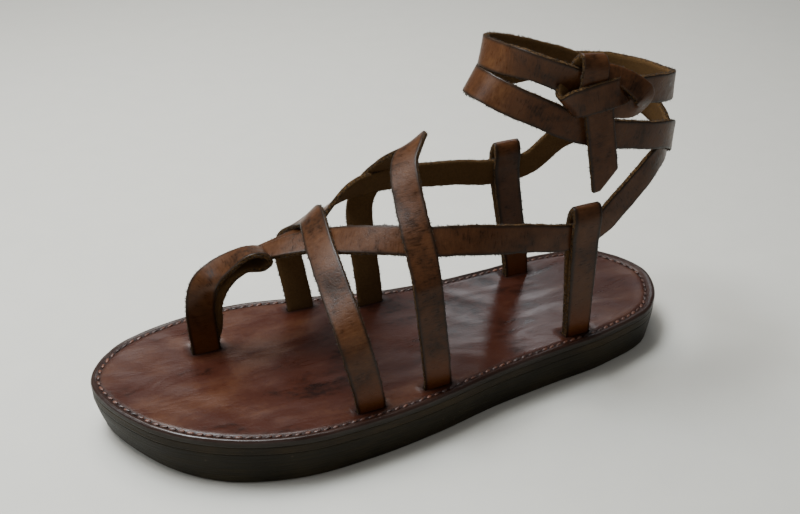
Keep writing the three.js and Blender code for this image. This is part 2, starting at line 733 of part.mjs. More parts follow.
/** The footbed with a slot for each strap that goes down through it. */
function slottedFootbedGeometry() {
  const down = new THREE.Vector3(0, 0, -1);
  const cutters = [
    slotPins(VAMP_STRAP.outerSlot, 1),
    slotPins(VAMP_STRAP.innerSlot, -1),
    slotPins(INSTEP_STRAP.outerSlot, 1),
    slotPins(INSTEP_STRAP.innerSlot, -1),
    slotPins(SIDE_LOOP.along, 1, 0.5),
    slotPins(SIDE_LOOP.along, 1, -0.5),
    slotPins(SIDE_LOOP.along, -1, 0.5),
    slotPins(SIDE_LOOP.along, -1, -0.5),
    toeSlotPins(TOE_SLOT.outerAcross, 1),
    toeSlotPins(TOE_SLOT.innerAcross, -1),
  ].map(([bottom, top]) => {
    bottom.at.addScaledVector(down, FOOTBED_THICKNESS);
    return toSolid(strapGeometry([bottom, top], { clearance: CLEARANCE }));
  });
  return toGeometry(cutters.reduce((bed, cutter) => bed.subtract(cutter), toSolid(footbedGeometry())));
}

function piece(name, geometry, color, roughness) {
  const material = new THREE.MeshStandardMaterial({ color, roughness, metalness: 0 });
  const mesh = new THREE.Mesh(geometry, material);
  mesh.name = name;
  return mesh;
}

const sandal = new THREE.Group();
sandal.name = "ankle_strap_sandal";
sandal.add(piece("outsole", outsoleGeometry(), 0x2a2013, 0.75));
sandal.add(piece("midsole", midsoleGeometry(), 0x2e2114, 0.7));
sandal.add(piece("footbed", slottedFootbedGeometry(), 0x4a1f14, 0.35));
sandal.add(piece("upper", upperGeometry(), 0x4a2a1c, 0.5));

export default sandal;
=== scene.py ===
"""Looks of the left ankle strap sandal: fine leather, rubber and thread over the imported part.

Lengths in the tables and sizes are millimetres; meshes are made in metres. +X runs to the toe, +Y to the
outer side, +Z up, and the origin is on the floor under the middle of the sole.
"""

import logging
import math
from dataclasses import dataclass
from enum import Enum
from typing import Callable, ClassVar, Iterable, Mapping, Optional, Sequence, Union

import bpy
import numpy as np
from mathutils import Matrix, Vector


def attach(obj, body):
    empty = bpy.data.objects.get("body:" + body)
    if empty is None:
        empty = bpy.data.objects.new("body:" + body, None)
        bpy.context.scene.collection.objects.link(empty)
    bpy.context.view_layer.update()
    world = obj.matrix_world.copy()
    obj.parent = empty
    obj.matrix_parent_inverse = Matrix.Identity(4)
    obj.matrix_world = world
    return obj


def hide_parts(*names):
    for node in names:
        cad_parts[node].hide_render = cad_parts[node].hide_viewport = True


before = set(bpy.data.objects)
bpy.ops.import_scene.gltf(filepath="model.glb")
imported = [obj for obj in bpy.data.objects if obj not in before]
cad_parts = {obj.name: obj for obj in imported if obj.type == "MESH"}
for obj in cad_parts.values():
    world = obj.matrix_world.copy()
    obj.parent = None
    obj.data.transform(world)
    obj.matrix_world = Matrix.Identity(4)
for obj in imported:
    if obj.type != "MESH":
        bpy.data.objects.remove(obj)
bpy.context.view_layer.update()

LOG = logging.getLogger("sandal")
MM = 0.001
UP = np.array([0.0, 0.0, 1.0])


class Slot(Enum):
    """Material slots of the record."""

    OUTSOLE = "outsole_rubber"
    MIDSOLE = "midsole_leather"
    FOOTBED = "footbed_leather"
    STRAP = "strap_leather"


class Side(Enum):
    """Sides of the foot, as the sign of Y."""

    OUTER = 1
    INNER = -1


@dataclass(frozen=True)
class Sizes:
    """Driving sizes in millimetres: the part's own, then those of the layers' seams and of the stitch row."""

    sole_length: float = 285.0
    ball_width: float = 105.0
    outsole: float = 15.5
    midsole: float = 4.0
    footbed: float = 3.5
    toe_rise: float = 3.0
    dish: float = 1.6
    edge_lean: float = 1.4
    toe_undercut: float = 1.6
    outsole_edge_radius: float = 1.5
    footbed_edge_radius: float = 1.4
    ankle_height: float = 135.0
    strap_width: float = 13.0
    strap_thickness: float = 2.4
    slot_inset: float = 8.6
    hanging_end: float = 36.5
    clearance: float = 0.3
    seam_gap: float = 0.04
    seam_inset: float = 0.08
    seam_lip: float = 0.1
    stitch_inset: float = 3.3
    stitch_inset_heel: float = 5.0

    @property
    def rim_height(self) -> float:
        """Height of the footbed's rim over the floor."""
        return self.outsole + self.midsole + self.footbed


SIZES = Sizes()


def smooth_step(low: float, high: float, value: np.ndarray) -> np.ndarray:
    """Smooth 0 to 1 between low and high."""
    share = np.clip((np.asarray(value, dtype=float) - low) / (high - low), 0.0, 1.0)
    return share * share * (3.0 - 2.0 * share)


def unit(vectors: np.ndarray) -> np.ndarray:
    """Vectors scaled to length one."""
    return vectors / np.maximum(np.linalg.norm(vectors, axis=-1, keepdims=True), 1e-12)


class Table:
    """Rows of named numbers, read smoothly between the rows."""

    def __init__(self, columns: str, rows: Sequence[Sequence[float]]) -> None:
        """Keeps the rows.

        Args:
            columns: Names of the columns, split by spaces.
            rows: The numbers.
        """
        self.names = columns.split()
        self.rows = np.array(rows, dtype=float)

    def read(self, place: np.ndarray) -> dict[str, np.ndarray]:
        """Every column at fractional row numbers.

        Args:
            place: Row numbers, whole or between.

        Returns:
            One array for each column name.
        """
        last = len(self.rows) - 1
        place = np.asarray(place, dtype=float)
        i = np.clip(np.floor(place).astype(int), 0, last - 1)
        t = (place - i)[..., None]
        a, b, c, d = (self.rows[np.clip(i + k, 0, last)] for k in (-1, 0, 1, 2))
        value = b + 0.5 * t * ((c - a) + t * ((2 * a - 5 * b + 4 * c - d) + t * (3 * b - a - 3 * c + d)))
        return dict(zip(self.names, np.moveaxis(value, -1, 0)))

    def whole(self) -> dict[str, np.ndarray]:
        """Every column as it stands in the table."""
        return dict(zip(self.names, self.rows.T))


class Wobble:
    """Seeded smooth noise along a line, between -1 and 1."""

    KNOTS = 2048

    def __init__(self, seed: int, period: float) -> None:
        """Draws the noise's knots.

        Args:
            seed: Seed of the draw.
            period: Distance between the knots.
        """
        self.period = period
        self.knots = np.random.default_rng(seed).uniform(-1.0, 1.0, self.KNOTS)

    def at(self, run: np.ndarray) -> np.ndarray:
        """Noise along the line.

        Args:
            run: Distances along the line.

        Returns:
            The noise at each distance.
        """
        place = np.asarray(run, dtype=float) / self.period
        i = np.floor(place).astype(int)
        t = place - i
        mix = t * t * (3.0 - 2.0 * t)
        low, high = (self.knots[(i + k) % self.KNOTS] for k in (0, 1))
        return low + (high - low) * mix


class SmoothCurve:
    """Centripetal curve through points, open or closed."""

    FINE_PER_SPAN = 32

    def __init__(self, points: np.ndarray, closed: bool = False) -> None:
        """Works out the curve's cubic spans.

        Args:
            points: Points on the curve, one per row.
            closed: Whether the last point joins the first.
        """
        points = np.asarray(points, dtype=float)
        if closed:
            spans = [np.roll(points, -k, axis=0) for k in (-1, 0, 1, 2)]
        else:
            first = 2 * points[0] - points[1]
            last = 2 * points[-1] - points[-2]
            padded = np.vstack([first, points, last])
            count = len(points) - 1
            spans = [padded[k : k + count] for k in range(4)]
        before, start, end, after = spans
        gaps = [np.linalg.norm(q - p, axis=1, keepdims=True) ** 0.5 for p, q in zip(spans, spans[1:])]
        gap_0, gap_1, gap_2 = gaps
        leave = (start - before) / gap_0 - (end - before) / (gap_0 + gap_1) + (end - start) / gap_1
        arrive = (end - start) / gap_1 - (after - start) / (gap_1 + gap_2) + (after - end) / gap_2
        leave, arrive = leave * gap_1, arrive * gap_1
        square = 3 * (end - start) - 2 * leave - arrive
        cube = 2 * (start - end) + leave + arrive
        self.terms = (start, leave, square, cube)
        self.count = len(start)

    def at(self, place: np.ndarray) -> tuple[np.ndarray, np.ndarray]:
        """Points and directions at fractional point numbers.

        Args:
            place: Numbers from 0 to the count of spans.

        Returns:
            Points, and directions of length one.
        """
        place = np.asarray(place, dtype=float)
        i = np.clip(np.floor(place).astype(int), 0, self.count - 1)
        t = (place - i)[:, None]
        a, b, c, d = (term[i] for term in self.terms)
        return a + t * (b + t * (c + t * d)), unit(b + t * (2 * c + 3 * t * d))

    def even(self, step: float) -> tuple[np.ndarray, np.ndarray]:
        """Places spaced evenly along an open curve.

        Args:
            step: Distance between places.

        Returns:
            Fractional point numbers, and distances from the start.
        """
        fine = np.linspace(0, self.count, self.count * self.FINE_PER_SPAN + 1)
        points, _ = self.at(fine)
        runs = np.concatenate([[0.0], np.cumsum(np.linalg.norm(np.diff(points, axis=0), axis=1))])
        distances = np.linspace(0, runs[-1], max(3, int(math.ceil(runs[-1] / step)) + 1))
        return np.interp(distances, runs, fine), distances


def make_object(
    name: str,
    points: np.ndarray,
    faces: Iterable[Sequence[int]],
    attributes: Optional[Mapping[str, np.ndarray]] = None,
) -> bpy.types.Object:
    """Makes a smooth-shaded mesh object whose place is in its vertices.

    Args:
        name: Name of the object and of its mesh.
        points: Corners in millimetres.
        faces: Corner numbers of each face, seen anticlockwise from outside.
        attributes: Numbers per corner for the shaders.

    Returns:
        The object, linked to the scene.
    """
    mesh = bpy.data.meshes.new(name)
    mesh.from_pydata((np.asarray(points) * MM).tolist(), [], [tuple(face) for face in faces])
    mesh.validate()
    set_attributes(mesh, attributes or {})
    mesh.shade_smooth()
    piece = bpy.data.objects.new(name, mesh)
    bpy.context.scene.collection.objects.link(piece)
    return piece


def set_attributes(mesh: bpy.types.Mesh, attributes: Mapping[str, np.ndarray]) -> None:
    """Stores numbers per corner in a mesh.

    Args:
        mesh: The mesh.
        attributes: A number for each corner, by the attribute's name.
    """
    for name, numbers in attributes.items():
        layer = mesh.attributes.new(name, "FLOAT", "POINT")
        layer.data.foreach_set("value", np.asarray(numbers, dtype=np.float32).ravel())


def mesh_points(mesh: bpy.types.Mesh) -> np.ndarray:
    """Corners of a mesh.

    Args:
        mesh: The mesh, in metres.

    Returns:
        One row of x, y and z in millimetres for each corner.
    """
    flat = np.empty(len(mesh.vertices) * 3, dtype=np.float32)
    mesh.vertices.foreach_get("co", flat)
    return flat.reshape(-1, 3).astype(float) / MM


def ring_faces(rings: int, around: int) -> list[tuple[int, int, int, int]]:
    """Quads between rings that follow each other and close on themselves.

    Args:
        rings: Count of rings.
        around: Count of points in a ring.

    Returns:
        Corner numbers of each quad.
    """
    i, j = np.meshgrid(np.arange(rings - 1), np.arange(around), indexing="ij")
    k = (j + 1) % around
    quads = np.stack([i * around + j, (i + 1) * around + j, (i + 1) * around + k, i * around + k], axis=-1)
    return [tuple(quad) for quad in quads.reshape(-1, 4).tolist()]


def carry_over(piece: bpy.types.Object, node: str, slot: Slot) -> None:
    """Hands a finished piece to the frame, where it rides on the root.

    Args:
        piece: The piece.
        node: CAD node that it stands for.
        slot: Material slot of that node; not used.
    """
    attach(piece, "root")
    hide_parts(node)


def baked(host: bpy.types.Object, name: str) -> bpy.types.Object:
    """Replaces a helper object and its modifiers by a plain mesh object.

    Args:
        host: The helper, which is removed.
        name: Name of the new object.

    Returns:
        The plain object.
    """
    evaluated = host.evaluated_get(bpy.context.evaluated_depsgraph_get())
    mesh = bpy.data.meshes.new_from_object(evaluated)
    mesh.name = name
    old = host.data
    bpy.data.objects.remove(host)
    if isinstance(old, bpy.types.Mesh):
        bpy.data.meshes.remove(old)
    piece = bpy.data.objects.new(name, mesh)
    bpy.context.scene.collection.objects.link(piece)
    return piece


# Node trees


Operand = Union["Signal", float, Sequence[float]]


class Signal:
    """A socket with arithmetic, so that shader maths reads as formulas."""

    def __init__(self, graph: "Graph", socket: bpy.types.NodeSocket) -> None:
        """Wraps the socket of a graph."""
        self.graph = graph
        self.socket = socket

    def __add__(self, other: Operand) -> "Signal":
        """Sum."""
        return self.graph.maths("ADD", self, other)

    __radd__ = __add__

    def __sub__(self, other: Operand) -> "Signal":
        """Difference."""
        return self.graph.maths("SUBTRACT", self, other)

    def __rsub__(self, other: Operand) -> "Signal":
        """Difference from a plain number."""
        return self.graph.maths("SUBTRACT", other, self)

    def __mul__(self, other: Operand) -> "Signal":
        """Product."""
        return self.graph.maths("MULTIPLY", self, other)

    __rmul__ = __mul__

    def atleast(self, other: Operand) -> "Signal":
        """The larger of two."""
        return self.graph.maths("MAXIMUM", self, other)

    def between(self, low: float, high: float) -> "Signal":
        """Smooth 0 to 1 as the signal goes from low to high.

        Args:
            low: Where it starts to rise.
            high: Where it reaches 1.

        Returns:
            The smoothed signal.
        """
        settings = {"interpolation_type": "SMOOTHSTEP"}
        inputs = {"Value": self, "From Min": low, "From Max": high}
        return self.graph.out(self.graph.add("ShaderNodeMapRange", settings, inputs), "Result")


class Graph:
    """A node tree and the one way to add nodes to it."""

    def __init__(self, tree: bpy.types.NodeTree) -> None:
        """Starts from an empty tree."""
        self.tree = tree
        tree.nodes.clear()

    def add(
        self,
        kind: str,
        settings: Optional[Mapping[str, object]] = None,
        inputs: Optional[Mapping[Union[str, int], Operand]] = None,
    ) -> bpy.types.Node:
        """Adds a node.

        Args:
            kind: Type name of the node.
            settings: Properties to set.
            inputs: Values or signals for its sockets, by name or number.

        Returns:
            The node.
        """
        node = self.tree.nodes.new(kind)
        for name, value in (settings or {}).items():
            setattr(node, name, value)
        for key, value in (inputs or {}).items():
            socket = node.inputs[key]
            if isinstance(value, Signal):
                self.tree.links.new(value.socket, socket)
            else:
                socket.default_value = value
        return node

    def out(self, node: bpy.types.Node, key: Union[str, int] = 0) -> Signal:
        """Signal from an output of a node."""
        return Signal(self, node.outputs[key])

    def maths(self, operation: str, *operands: Operand) -> Signal:
        """Number arithmetic."""
        return self.out(self.add("ShaderNodeMath", {"operation": operation}, dict(enumerate(operands))))

    def vector_maths(self, operation: str, *operands: Operand) -> Signal:
        """Vector arithmetic."""
        return self.out(self.add("ShaderNodeVectorMath", {"operation": operation}, dict(enumerate(operands))))

    def joined(self, x: Operand, y: Operand, z: Operand = 0.0) -> Signal:
        """Vector from three numbers."""
        return self.out(self.add("ShaderNodeCombineXYZ", {}, {0: x, 1: y, 2: z}))


class ShaderGraph(Graph):
    """Node tree of a material."""

    def __init__(self, name: str) -> None:
        """Starts a material.

        Args:
            name: Name of the material.
        """
        self.material = bpy.data.materials.new(name)
        self.material.use_nodes = True
        super().__init__(self.material.node_tree)

    def place(self) -> Signal:
        """Place on the object in metres."""
        return self.out(self.add("ShaderNodeTexCoord"), "Object")

    def attribute(self, name: str) -> Signal:
        """A number that the mesh carries."""
        return self.out(self.add("ShaderNodeAttribute", {"attribute_name": name}), "Fac")

    def scaled(self, vector: Signal, x: float, y: float = 1.0, z: float = 1.0) -> Signal:
        """Vector with its parts multiplied, to stretch a pattern."""
        return self.vector_maths("MULTIPLY", vector, (x, y, z))

    def noise(
        self,
        vector: Signal,
        size: float,
        detail: float = 3.0,
        rough: float = 0.55,
        bend: float = 0.0,
    ) -> Signal:
        """Noise with spots of a size in metres.

        Args:
            vector: Place in metres.
            size: Size of the spots.
            detail: Octaves.
            rough: Weight of the finer octaves.
            bend: Distortion.

        Returns:
            Numbers round 0.5.
        """
        inputs = {"Vector": vector, "Scale": 1.0 / size}
        inputs |= {"Detail": detail, "Roughness": rough, "Distortion": bend}
        return self.out(self.add("ShaderNodeTexNoise", {}, inputs), 0)

    def cells(self, vector: Signal, size: float) -> Signal:
        """Distance to the nearest cell centre, for pebbles and pores of a size in metres."""
        inputs = {"Vector": vector, "Scale": 1.0 / size}
        return self.out(self.add("ShaderNodeTexVoronoi", {}, inputs), "Distance")

    def mix(self, factor: Operand, first: Operand, second: Operand) -> Signal:
        """Colour between two colours."""
        node = self.add("ShaderNodeMix", {"data_type": "RGBA"}, {0: factor, 6: first, 7: second})
        return self.out(node, 2)

    def bump(self, height: Signal, depth: float, normal: Optional[Signal] = None) -> Signal:
        """Normal bent by a height.

        Args:
            height: Height between 0 and 1.
            depth: Metres from 0 to 1.
            normal: Normal to start from.

        Returns:
            The bent normal.
        """
        inputs: dict[Union[str, int], Operand] = {"Height": height, "Distance": depth}
        if normal is not None:
            inputs["Normal"] = normal
        return self.out(self.add("ShaderNodeBump", {}, inputs))

    def finish(self, inputs: Mapping[str, Operand]) -> bpy.types.Material:
        """Ends the material in one shader with these inputs.

        Args:
            inputs: Values or signals by the names of the shader's sockets.

        Returns:
            The material.
        """
        shader = self.add("ShaderNodeBsdfPrincipled", {}, inputs)
        self.add("ShaderNodeOutputMaterial", {}, {"Surface": self.out(shader)})
        return self.material


Colour = tuple[float, float, float, float]


def rgb(red: float, green: float, blue: float) -> Colour:
    """Opaque linear colour."""
    return (red, green, blue, 1.0)


# Finishes


@dataclass(frozen=True)
class StrapLeather:
    """Waxed brown grain leather with raw flesh and dark cut edges; spot sizes and depths in metres."""

    dark: Colour = rgb(0.0180, 0.0068, 0.0022)
    middle: Colour = rgb(0.0520, 0.0185, 0.0056)
    light: Colour = rgb(0.0950, 0.0385, 0.0120)
    # Painted warm light: the orange tint on the strap's legs near the slots.
    painted_warm_light: Colour = rgb(0.0900, 0.0260, 0.0056)
    edge: Colour = rgb(0.0100, 0.0058, 0.0028)
    flesh: Colour = rgb(0.0950, 0.0500, 0.0180)
    roughness: float = 0.40
    specular: float = 0.11
    coat_roughness: float = 0.30
    patch_size: float = 0.016
    mottle_size: float = 0.0032
    streak_size: float = 0.0008
    streak_stretch: float = 0.18
    raw_size: float = 0.0009
    pebble_size: float = 0.0008
    pore_size: float = 0.0005
    rim_from: float = 0.0047
    rim_full: float = 0.0062
    mottle_depth: float = 0.00014
    pebble_depth: float = 0.00005
    streak_depth: float = 0.00014
    fuzz_depth: float = 0.0006

    def waxed(self, g: ShaderGraph, tone: Signal, across: Signal) -> Signal:
        """Colour of the grain side.

        Args:
            g: The material's nodes.
            tone: Darkness to lightness, round 0.5.
            across: Distance from the strap's middle in metres.

        Returns:
            Mottled brown with painted warm light on the legs near the slots, and burnished dark along the
            rims.
        """
        colour = g.mix(tone.between(0.36, 0.52), self.dark, self.middle)
        colour = g.mix(tone.between(0.5, 0.68) * 0.7, colour, self.light)
        # Painted warm light on the strap's legs near the slots.
        colour = g.mix(g.attribute("slot") * 0.75, colour, self.painted_warm_light)
        rim = g.maths("ABSOLUTE", across).between(self.rim_from, self.rim_full) * 0.85
        return g.mix(rim, colour, self.edge)

    def raw(self, g: ShaderGraph, ragged: Signal) -> Signal:
        """Colour of the cut edges and the flesh side."""
        cut = g.mix(ragged.between(0.36, 0.62), self.edge, self.flesh)
        return g.mix(g.attribute("under") * 0.8, cut, self.flesh)

    def build(self) -> bpy.types.Material:
        """Makes the material.

        Returns:
            The material.
        """
        g = ShaderGraph("strap_leather")
        place = g.place()
        run, across = g.attribute("run"), g.attribute("across")
        patches = g.noise(place, self.patch_size, 4.0, 0.6, 0.4)
        mottle = g.noise(place, self.mottle_size, 4.0, 0.62)
        streak = g.noise(g.joined(run, across * self.streak_stretch), self.streak_size, 3.0, 0.6)
        ragged = g.noise(place, self.raw_size, 3.0, 0.7)
        skin = (g.attribute("grain") + (ragged - 0.5) * 0.6).between(0.40, 0.62)
        tone = patches * 0.52 + mottle * 0.24 + streak * 0.24
        pebble = g.cells(place, self.pebble_size) * 0.6 + g.noise(place, self.pore_size, 2.0) * 0.4
        fuzz = g.noise(place, self.pore_size, 4.0, 0.75)
        stretched = 0.4 + g.attribute("bend") * 0.6
        normal = g.bump(mottle, self.mottle_depth)
        normal = g.bump(pebble * skin, self.pebble_depth, normal)
        normal = g.bump(streak * skin * stretched, self.streak_depth, normal)
        normal = g.bump(fuzz * (1.0 - skin), self.fuzz_depth, normal)
        rough = self.roughness + (mottle - 0.5) * 0.3 + (streak - 0.5) * 0.45 + (1.0 - skin) * 0.5
        return g.finish(
            {
                "Base Color": g.mix(skin, self.raw(g, ragged), self.waxed(g, tone, across)),
                "Roughness": rough.between(0.0, 0.95),
                "Coat Weight": skin * (0.03 + patches * 0.25),
                "Coat Roughness": self.coat_roughness,
                "Specular IOR Level": self.specular,
                "Normal": normal,
            }
        )


@dataclass(frozen=True)
class FootbedLeather:
    """Glossy reddish brown leather, worn lighter in patches; spot sizes and depths in metres."""

    # Dark is also mixed in round the slots as painted shade.
    dark: Colour = rgb(0.0100, 0.0032, 0.0020)
    middle: Colour = rgb(0.0380, 0.0098, 0.0048)
    tan: Colour = rgb(0.0800, 0.0285, 0.0110)
    rim: Colour = rgb(0.0150, 0.0068, 0.0040)
    side: Colour = rgb(0.0130, 0.0090, 0.0045)
    roughness: float = 0.34
    specular: float = 0.18
    coat_roughness: float = 0.2
    patch_size: float = 0.05
    smear_size: float = 0.012
    smear_stretch: float = 0.35
    fine_size: float = 0.0025
    pore_size: float = 0.0011
    ragged_size: float = 0.0012
    scuff_size: float = 0.0016
    scuff_stretch: float = 0.15
    rim_from: float = 0.0006
    rim_to: float = 0.0065
    smear_depth: float = 0.0004
    pore_depth: float = 0.00005
    groove_depth: float = 0.0006

    def build(self) -> bpy.types.Material:
        """Makes the material.

        Returns:
            The material.
        """
        g = ShaderGraph("footbed_leather")
        place = g.place()
        slot, wall, groove = g.attribute("slot"), g.attribute("wall"), g.attribute("groove")
        patches = g.noise(place, self.patch_size, 3.0, 0.55, 0.6)
        smear = g.noise(g.scaled(place, self.smear_stretch), self.smear_size, 4.0, 0.6, 0.5)
        fine = g.noise(place, self.fine_size, 4.0, 0.6)
        tone = patches * 0.5 + smear * 0.35 + fine * 0.15
        inner = g.attribute("inset").between(self.rim_from, self.rim_to)
        colour = g.mix(tone.between(0.38, 0.5), self.dark, self.middle)
        colour = g.mix(tone.between(0.5, 0.66) * 0.65, colour, self.tan)
        colour = g.mix((1.0 - inner) * 0.85, colour, self.rim)
        colour = g.mix(groove * 0.9, colour, self.dark)
        # Painted shade: darker round the slots, where the straps go down into the footbed.
        colour = g.mix(slot * 0.8, colour, self.dark)
        colour = g.mix(wall, colour, self.side)
        pores = g.cells(place, self.pore_size) * 0.5 + fine * 0.5
        ragged = g.noise(place, self.ragged_size, 3.0, 0.7)
        scuff = g.noise(g.scaled(place, self.scuff_stretch), self.scuff_size, 3.0, 0.65)
        normal = g.bump(smear, self.smear_depth)
        normal = g.bump(pores, self.pore_depth, normal)
        normal = g.bump(ragged * groove, self.groove_depth, normal)
        dull = wall.atleast(groove).atleast(slot)
        rough = self.roughness + (smear - 0.5) * 0.35 + (scuff - 0.5) * 0.2 + dull * 0.22
        return g.finish(
            {
                "Base Color": colour,
                "Roughness": rough.atleast(0.18),
                "Coat Weight": (0.1 + smear.between(0.4, 0.65) * 0.4) * (1.0 - 0.85 * dull),
                "Coat Roughness": self.coat_roughness,
                "Specular IOR Level": self.specular,
                "Normal": normal,
            }
        )


@dataclass(frozen=True)
class SoleEdge:
    """Dark stained edge of a sole layer, rubbed lengthwise; spot sizes and depths in metres."""

    name: str
    dark: Colour
    light: Colour
    roughness: float
    specks: float
    speck: Colour = rgb(0.1, 0.075, 0.045)
    specular: float = 0.11
    rub_stretch: float = 0.06
    rub_size: float = 0.0011
    cloud_size: float = 0.03
    speck_size: float = 0.006
    grit_size: float = 0.0004
    rub_depth: float = 0.00025
    grit_depth: float = 0.00005

    def build(self) -> bpy.types.Material:
        """Makes the material.

        Returns:
            The material.
        """
        g = ShaderGraph(self.name)
        place = g.place()
        rub = g.noise(g.scaled(place, self.rub_stretch, self.rub_stretch), self.rub_size, 4.0, 0.6)
        tone = rub * 0.5 + g.noise(place, self.cloud_size, 3.0) * 0.5
        dots = 1.0 - g.cells(place, self.speck_size).between(0.03, 0.1)
        colour = g.mix(tone.between(0.4, 0.62), self.dark, self.light)
        colour = g.mix(dots * self.specks, colour, self.speck)
        normal = g.bump(rub, self.rub_depth)
        normal = g.bump(g.noise(place, self.grit_size, 3.0, 0.6), self.grit_depth, normal)
        return g.finish(
            {
                "Base Color": colour,
                "Roughness": self.roughness + (rub - 0.5) * 0.3,
                "Specular IOR Level": self.specular,
                "Normal": normal,
            }
        )


@dataclass(frozen=True)
class StitchThread:
    """Waxed reddish brown thread; spot sizes and depth in metres."""

    dark: Colour = rgb(0.018, 0.007, 0.0045)
    light: Colour = rgb(0.115, 0.040, 0.020)
    roughness: float = 0.42
    worn_size: float = 0.006
    ply_size: float = 0.0004
    ply_depth: float = 0.00012

    def build(self) -> bpy.types.Material:
        """Makes the material.

        Returns:
            The material.
        """
        g = ShaderGraph("stitch_thread")
        place = g.place()
        worn = g.noise(place, self.worn_size, 3.0, 0.6)
        ply = g.noise(place, self.ply_size, 2.0)
        colour = g.mix((worn * 0.7 + ply * 0.3).between(0.4, 0.62), self.dark, self.light)
        normal = g.bump(ply, self.ply_depth)
        return g.finish({"Base Color": colour, "Roughness": self.roughness, "Normal": normal})


@dataclass(frozen=True)
class Plain:
    """One colour with hardly a pattern, for fibres and the floor."""

    name: str
    colour: Colour
    roughness: float
    cloud_size: float = 0.02
    dimmest: float = 0.94

    def build(self) -> bpy.types.Material:
        """Makes the material.

        Returns:
            The material.
        """
        g = ShaderGraph(self.name)
        cloud = g.noise(g.place(), self.cloud_size, 2.0)
        dim = rgb(*(self.dimmest * part for part in self.colour[:3]))
        return g.finish({"Base Color": g.mix(cloud, dim, self.colour), "Roughness": self.roughness})


OUTSOLE_EDGE = SoleEdge(
    "outsole_rubber",
    dark=rgb(0.0075, 0.0056, 0.0023),
    light=rgb(0.0175, 0.0130, 0.0055),
    roughness=0.5,
    specks=0.35,
)
MIDSOLE_EDGE = SoleEdge(
    "midsole_leather",
    dark=rgb(0.0110, 0.0074, 0.0030),
    light=rgb(0.0280, 0.0185, 0.0075),
    roughness=0.46,
    specks=0.2,
)
FIBRE = Plain("leather_fibre", rgb(0.026, 0.015, 0.0065), roughness=0.8)
PALE_FLOOR = Plain("pale_floor", rgb(0.58, 0.56, 0.50), roughness=0.6)


# Sole


class Outline:
    """The sole's outline from the back of the heel along the outer side to the toe and back."""

    POINTS_PER_SPAN = 24
    TOE_FROM = 0.5
    SPRING_FROM = 0.84
    DISH_FULL_WIDTH = 0.7
    AT_ONCE = 4000
    TABLE = Table(
        "along across",
        [
            [0.0, 0.0],
            [0.056, 0.268],
            [0.166, 0.363],
            [0.281, 0.391],
            [0.397, 0.422],
            [0.511, 0.474],
            [0.626, 0.502],
            [0.742, 0.49],
            [0.852, 0.386],
            [0.944, 0.18],
            [1.0, -0.17],
            [0.955, -0.376],
            [0.845, -0.488],
            [0.73, -0.509],
            [0.616, -0.452],
            [0.506, -0.375],
            [0.392, -0.333],
            [0.276, -0.328],
            [0.161, -0.338],
            [0.052, -0.27],
        ],
    )

    def __init__(self, sizes: Sizes) -> None:
        """Samples the outline.

        Args:
            sizes: The sandal's sizes.
        """
        self.sizes = sizes
        rows = self.TABLE.whole()
        points = np.column_stack([self.to_x(rows["along"]), rows["across"] * sizes.ball_width])
        curve = SmoothCurve(points, closed=True)
        self.count = self.POINTS_PER_SPAN * len(points)
        self.points, tangents = curve.at(np.arange(self.count) / self.POINTS_PER_SPAN)
        self.inward = np.column_stack([tangents[:, 1], -tangents[:, 0]])
        half = self.count // 2
        self.outer = self.points[: half + 1]
        self.inner = np.vstack([self.points[half:], self.points[:1]])[::-1]

    def to_x(self, along: np.ndarray) -> np.ndarray:
        """X of a share of the sole's length from the heel."""
        return (np.asarray(along) - 0.5) * self.sizes.sole_length

    def share(self, x: np.ndarray) -> np.ndarray:
        """Share of the sole's length from the heel at an X."""
        return np.asarray(x) / self.sizes.sole_length + 0.5

    def ring(self, inset: Union[float, np.ndarray]) -> np.ndarray:
        """Outline points moved inwards."""
        return self.points + self.inward * np.broadcast_to(np.asarray(inset, float), self.count)[:, None]

    def edge(self, x: np.ndarray, side: Side) -> np.ndarray:
        """Edge of the sole seen from above.

        Args:
            x: Places along the sole.
            side: Which edge.

        Returns:
            Y of the edge at each place.
        """
        half = self.outer if side is Side.OUTER else self.inner
        order = np.argsort(half[:, 0])
        return np.interp(x, half[order, 0], half[order, 1])

    def toe_rise(self, share: np.ndarray) -> np.ndarray:
        """How far the sole's top rises at the toe."""
        return self.sizes.toe_rise * smooth_step(self.TOE_FROM, 1.0, share)

    def toe_spring(self, share: np.ndarray) -> np.ndarray:
        """How far the underside springs up at the toe."""
        return self.sizes.toe_rise * smooth_step(self.SPRING_FROM, 1.0, share)

    def lean(self, share: np.ndarray) -> np.ndarray:
        """How far the outsole's wall leans in at the bottom."""
        return self.sizes.edge_lean + self.sizes.toe_undercut * smooth_step(self.SPRING_FROM, 1.0, share)

    def dish(self, x: np.ndarray, y: np.ndarray) -> np.ndarray:
        """Depth of the footbed's hollow.

        Args:
            x: Places along the sole.
            y: Places across it.

        Returns:
            The depth, 0 at the sole's edge.
        """
        outer, inner = self.edge(x, Side.OUTER), self.edge(x, Side.INNER)
        width = np.maximum(outer - inner, 1e-6)
        across = np.clip((outer - y) / width, 0.0, 1.0)
        full = smooth_step(0.0, self.DISH_FULL_WIDTH, width / self.sizes.ball_width)
        return self.sizes.dish * 4.0 * across * (1.0 - across) * full

    def distance(self, x: np.ndarray, y: np.ndarray) -> np.ndarray:
        """Distance of points to the outline, worked out for some points at a time.

        Args:
            x: Places along the sole.
            y: Places across it.

        Returns:
            The distance of each point.
        """
        found = np.full(len(x), np.inf)
        for start in range(0, len(x), self.AT_ONCE):
            part = slice(start, start + self.AT_ONCE)
            dx = x[part, None] - self.points[None, :, 0]
            dy = y[part, None] - self.points[None, :, 1]
            found[part] = np.sqrt((dx * dx + dy * dy).min(axis=1))
        return found


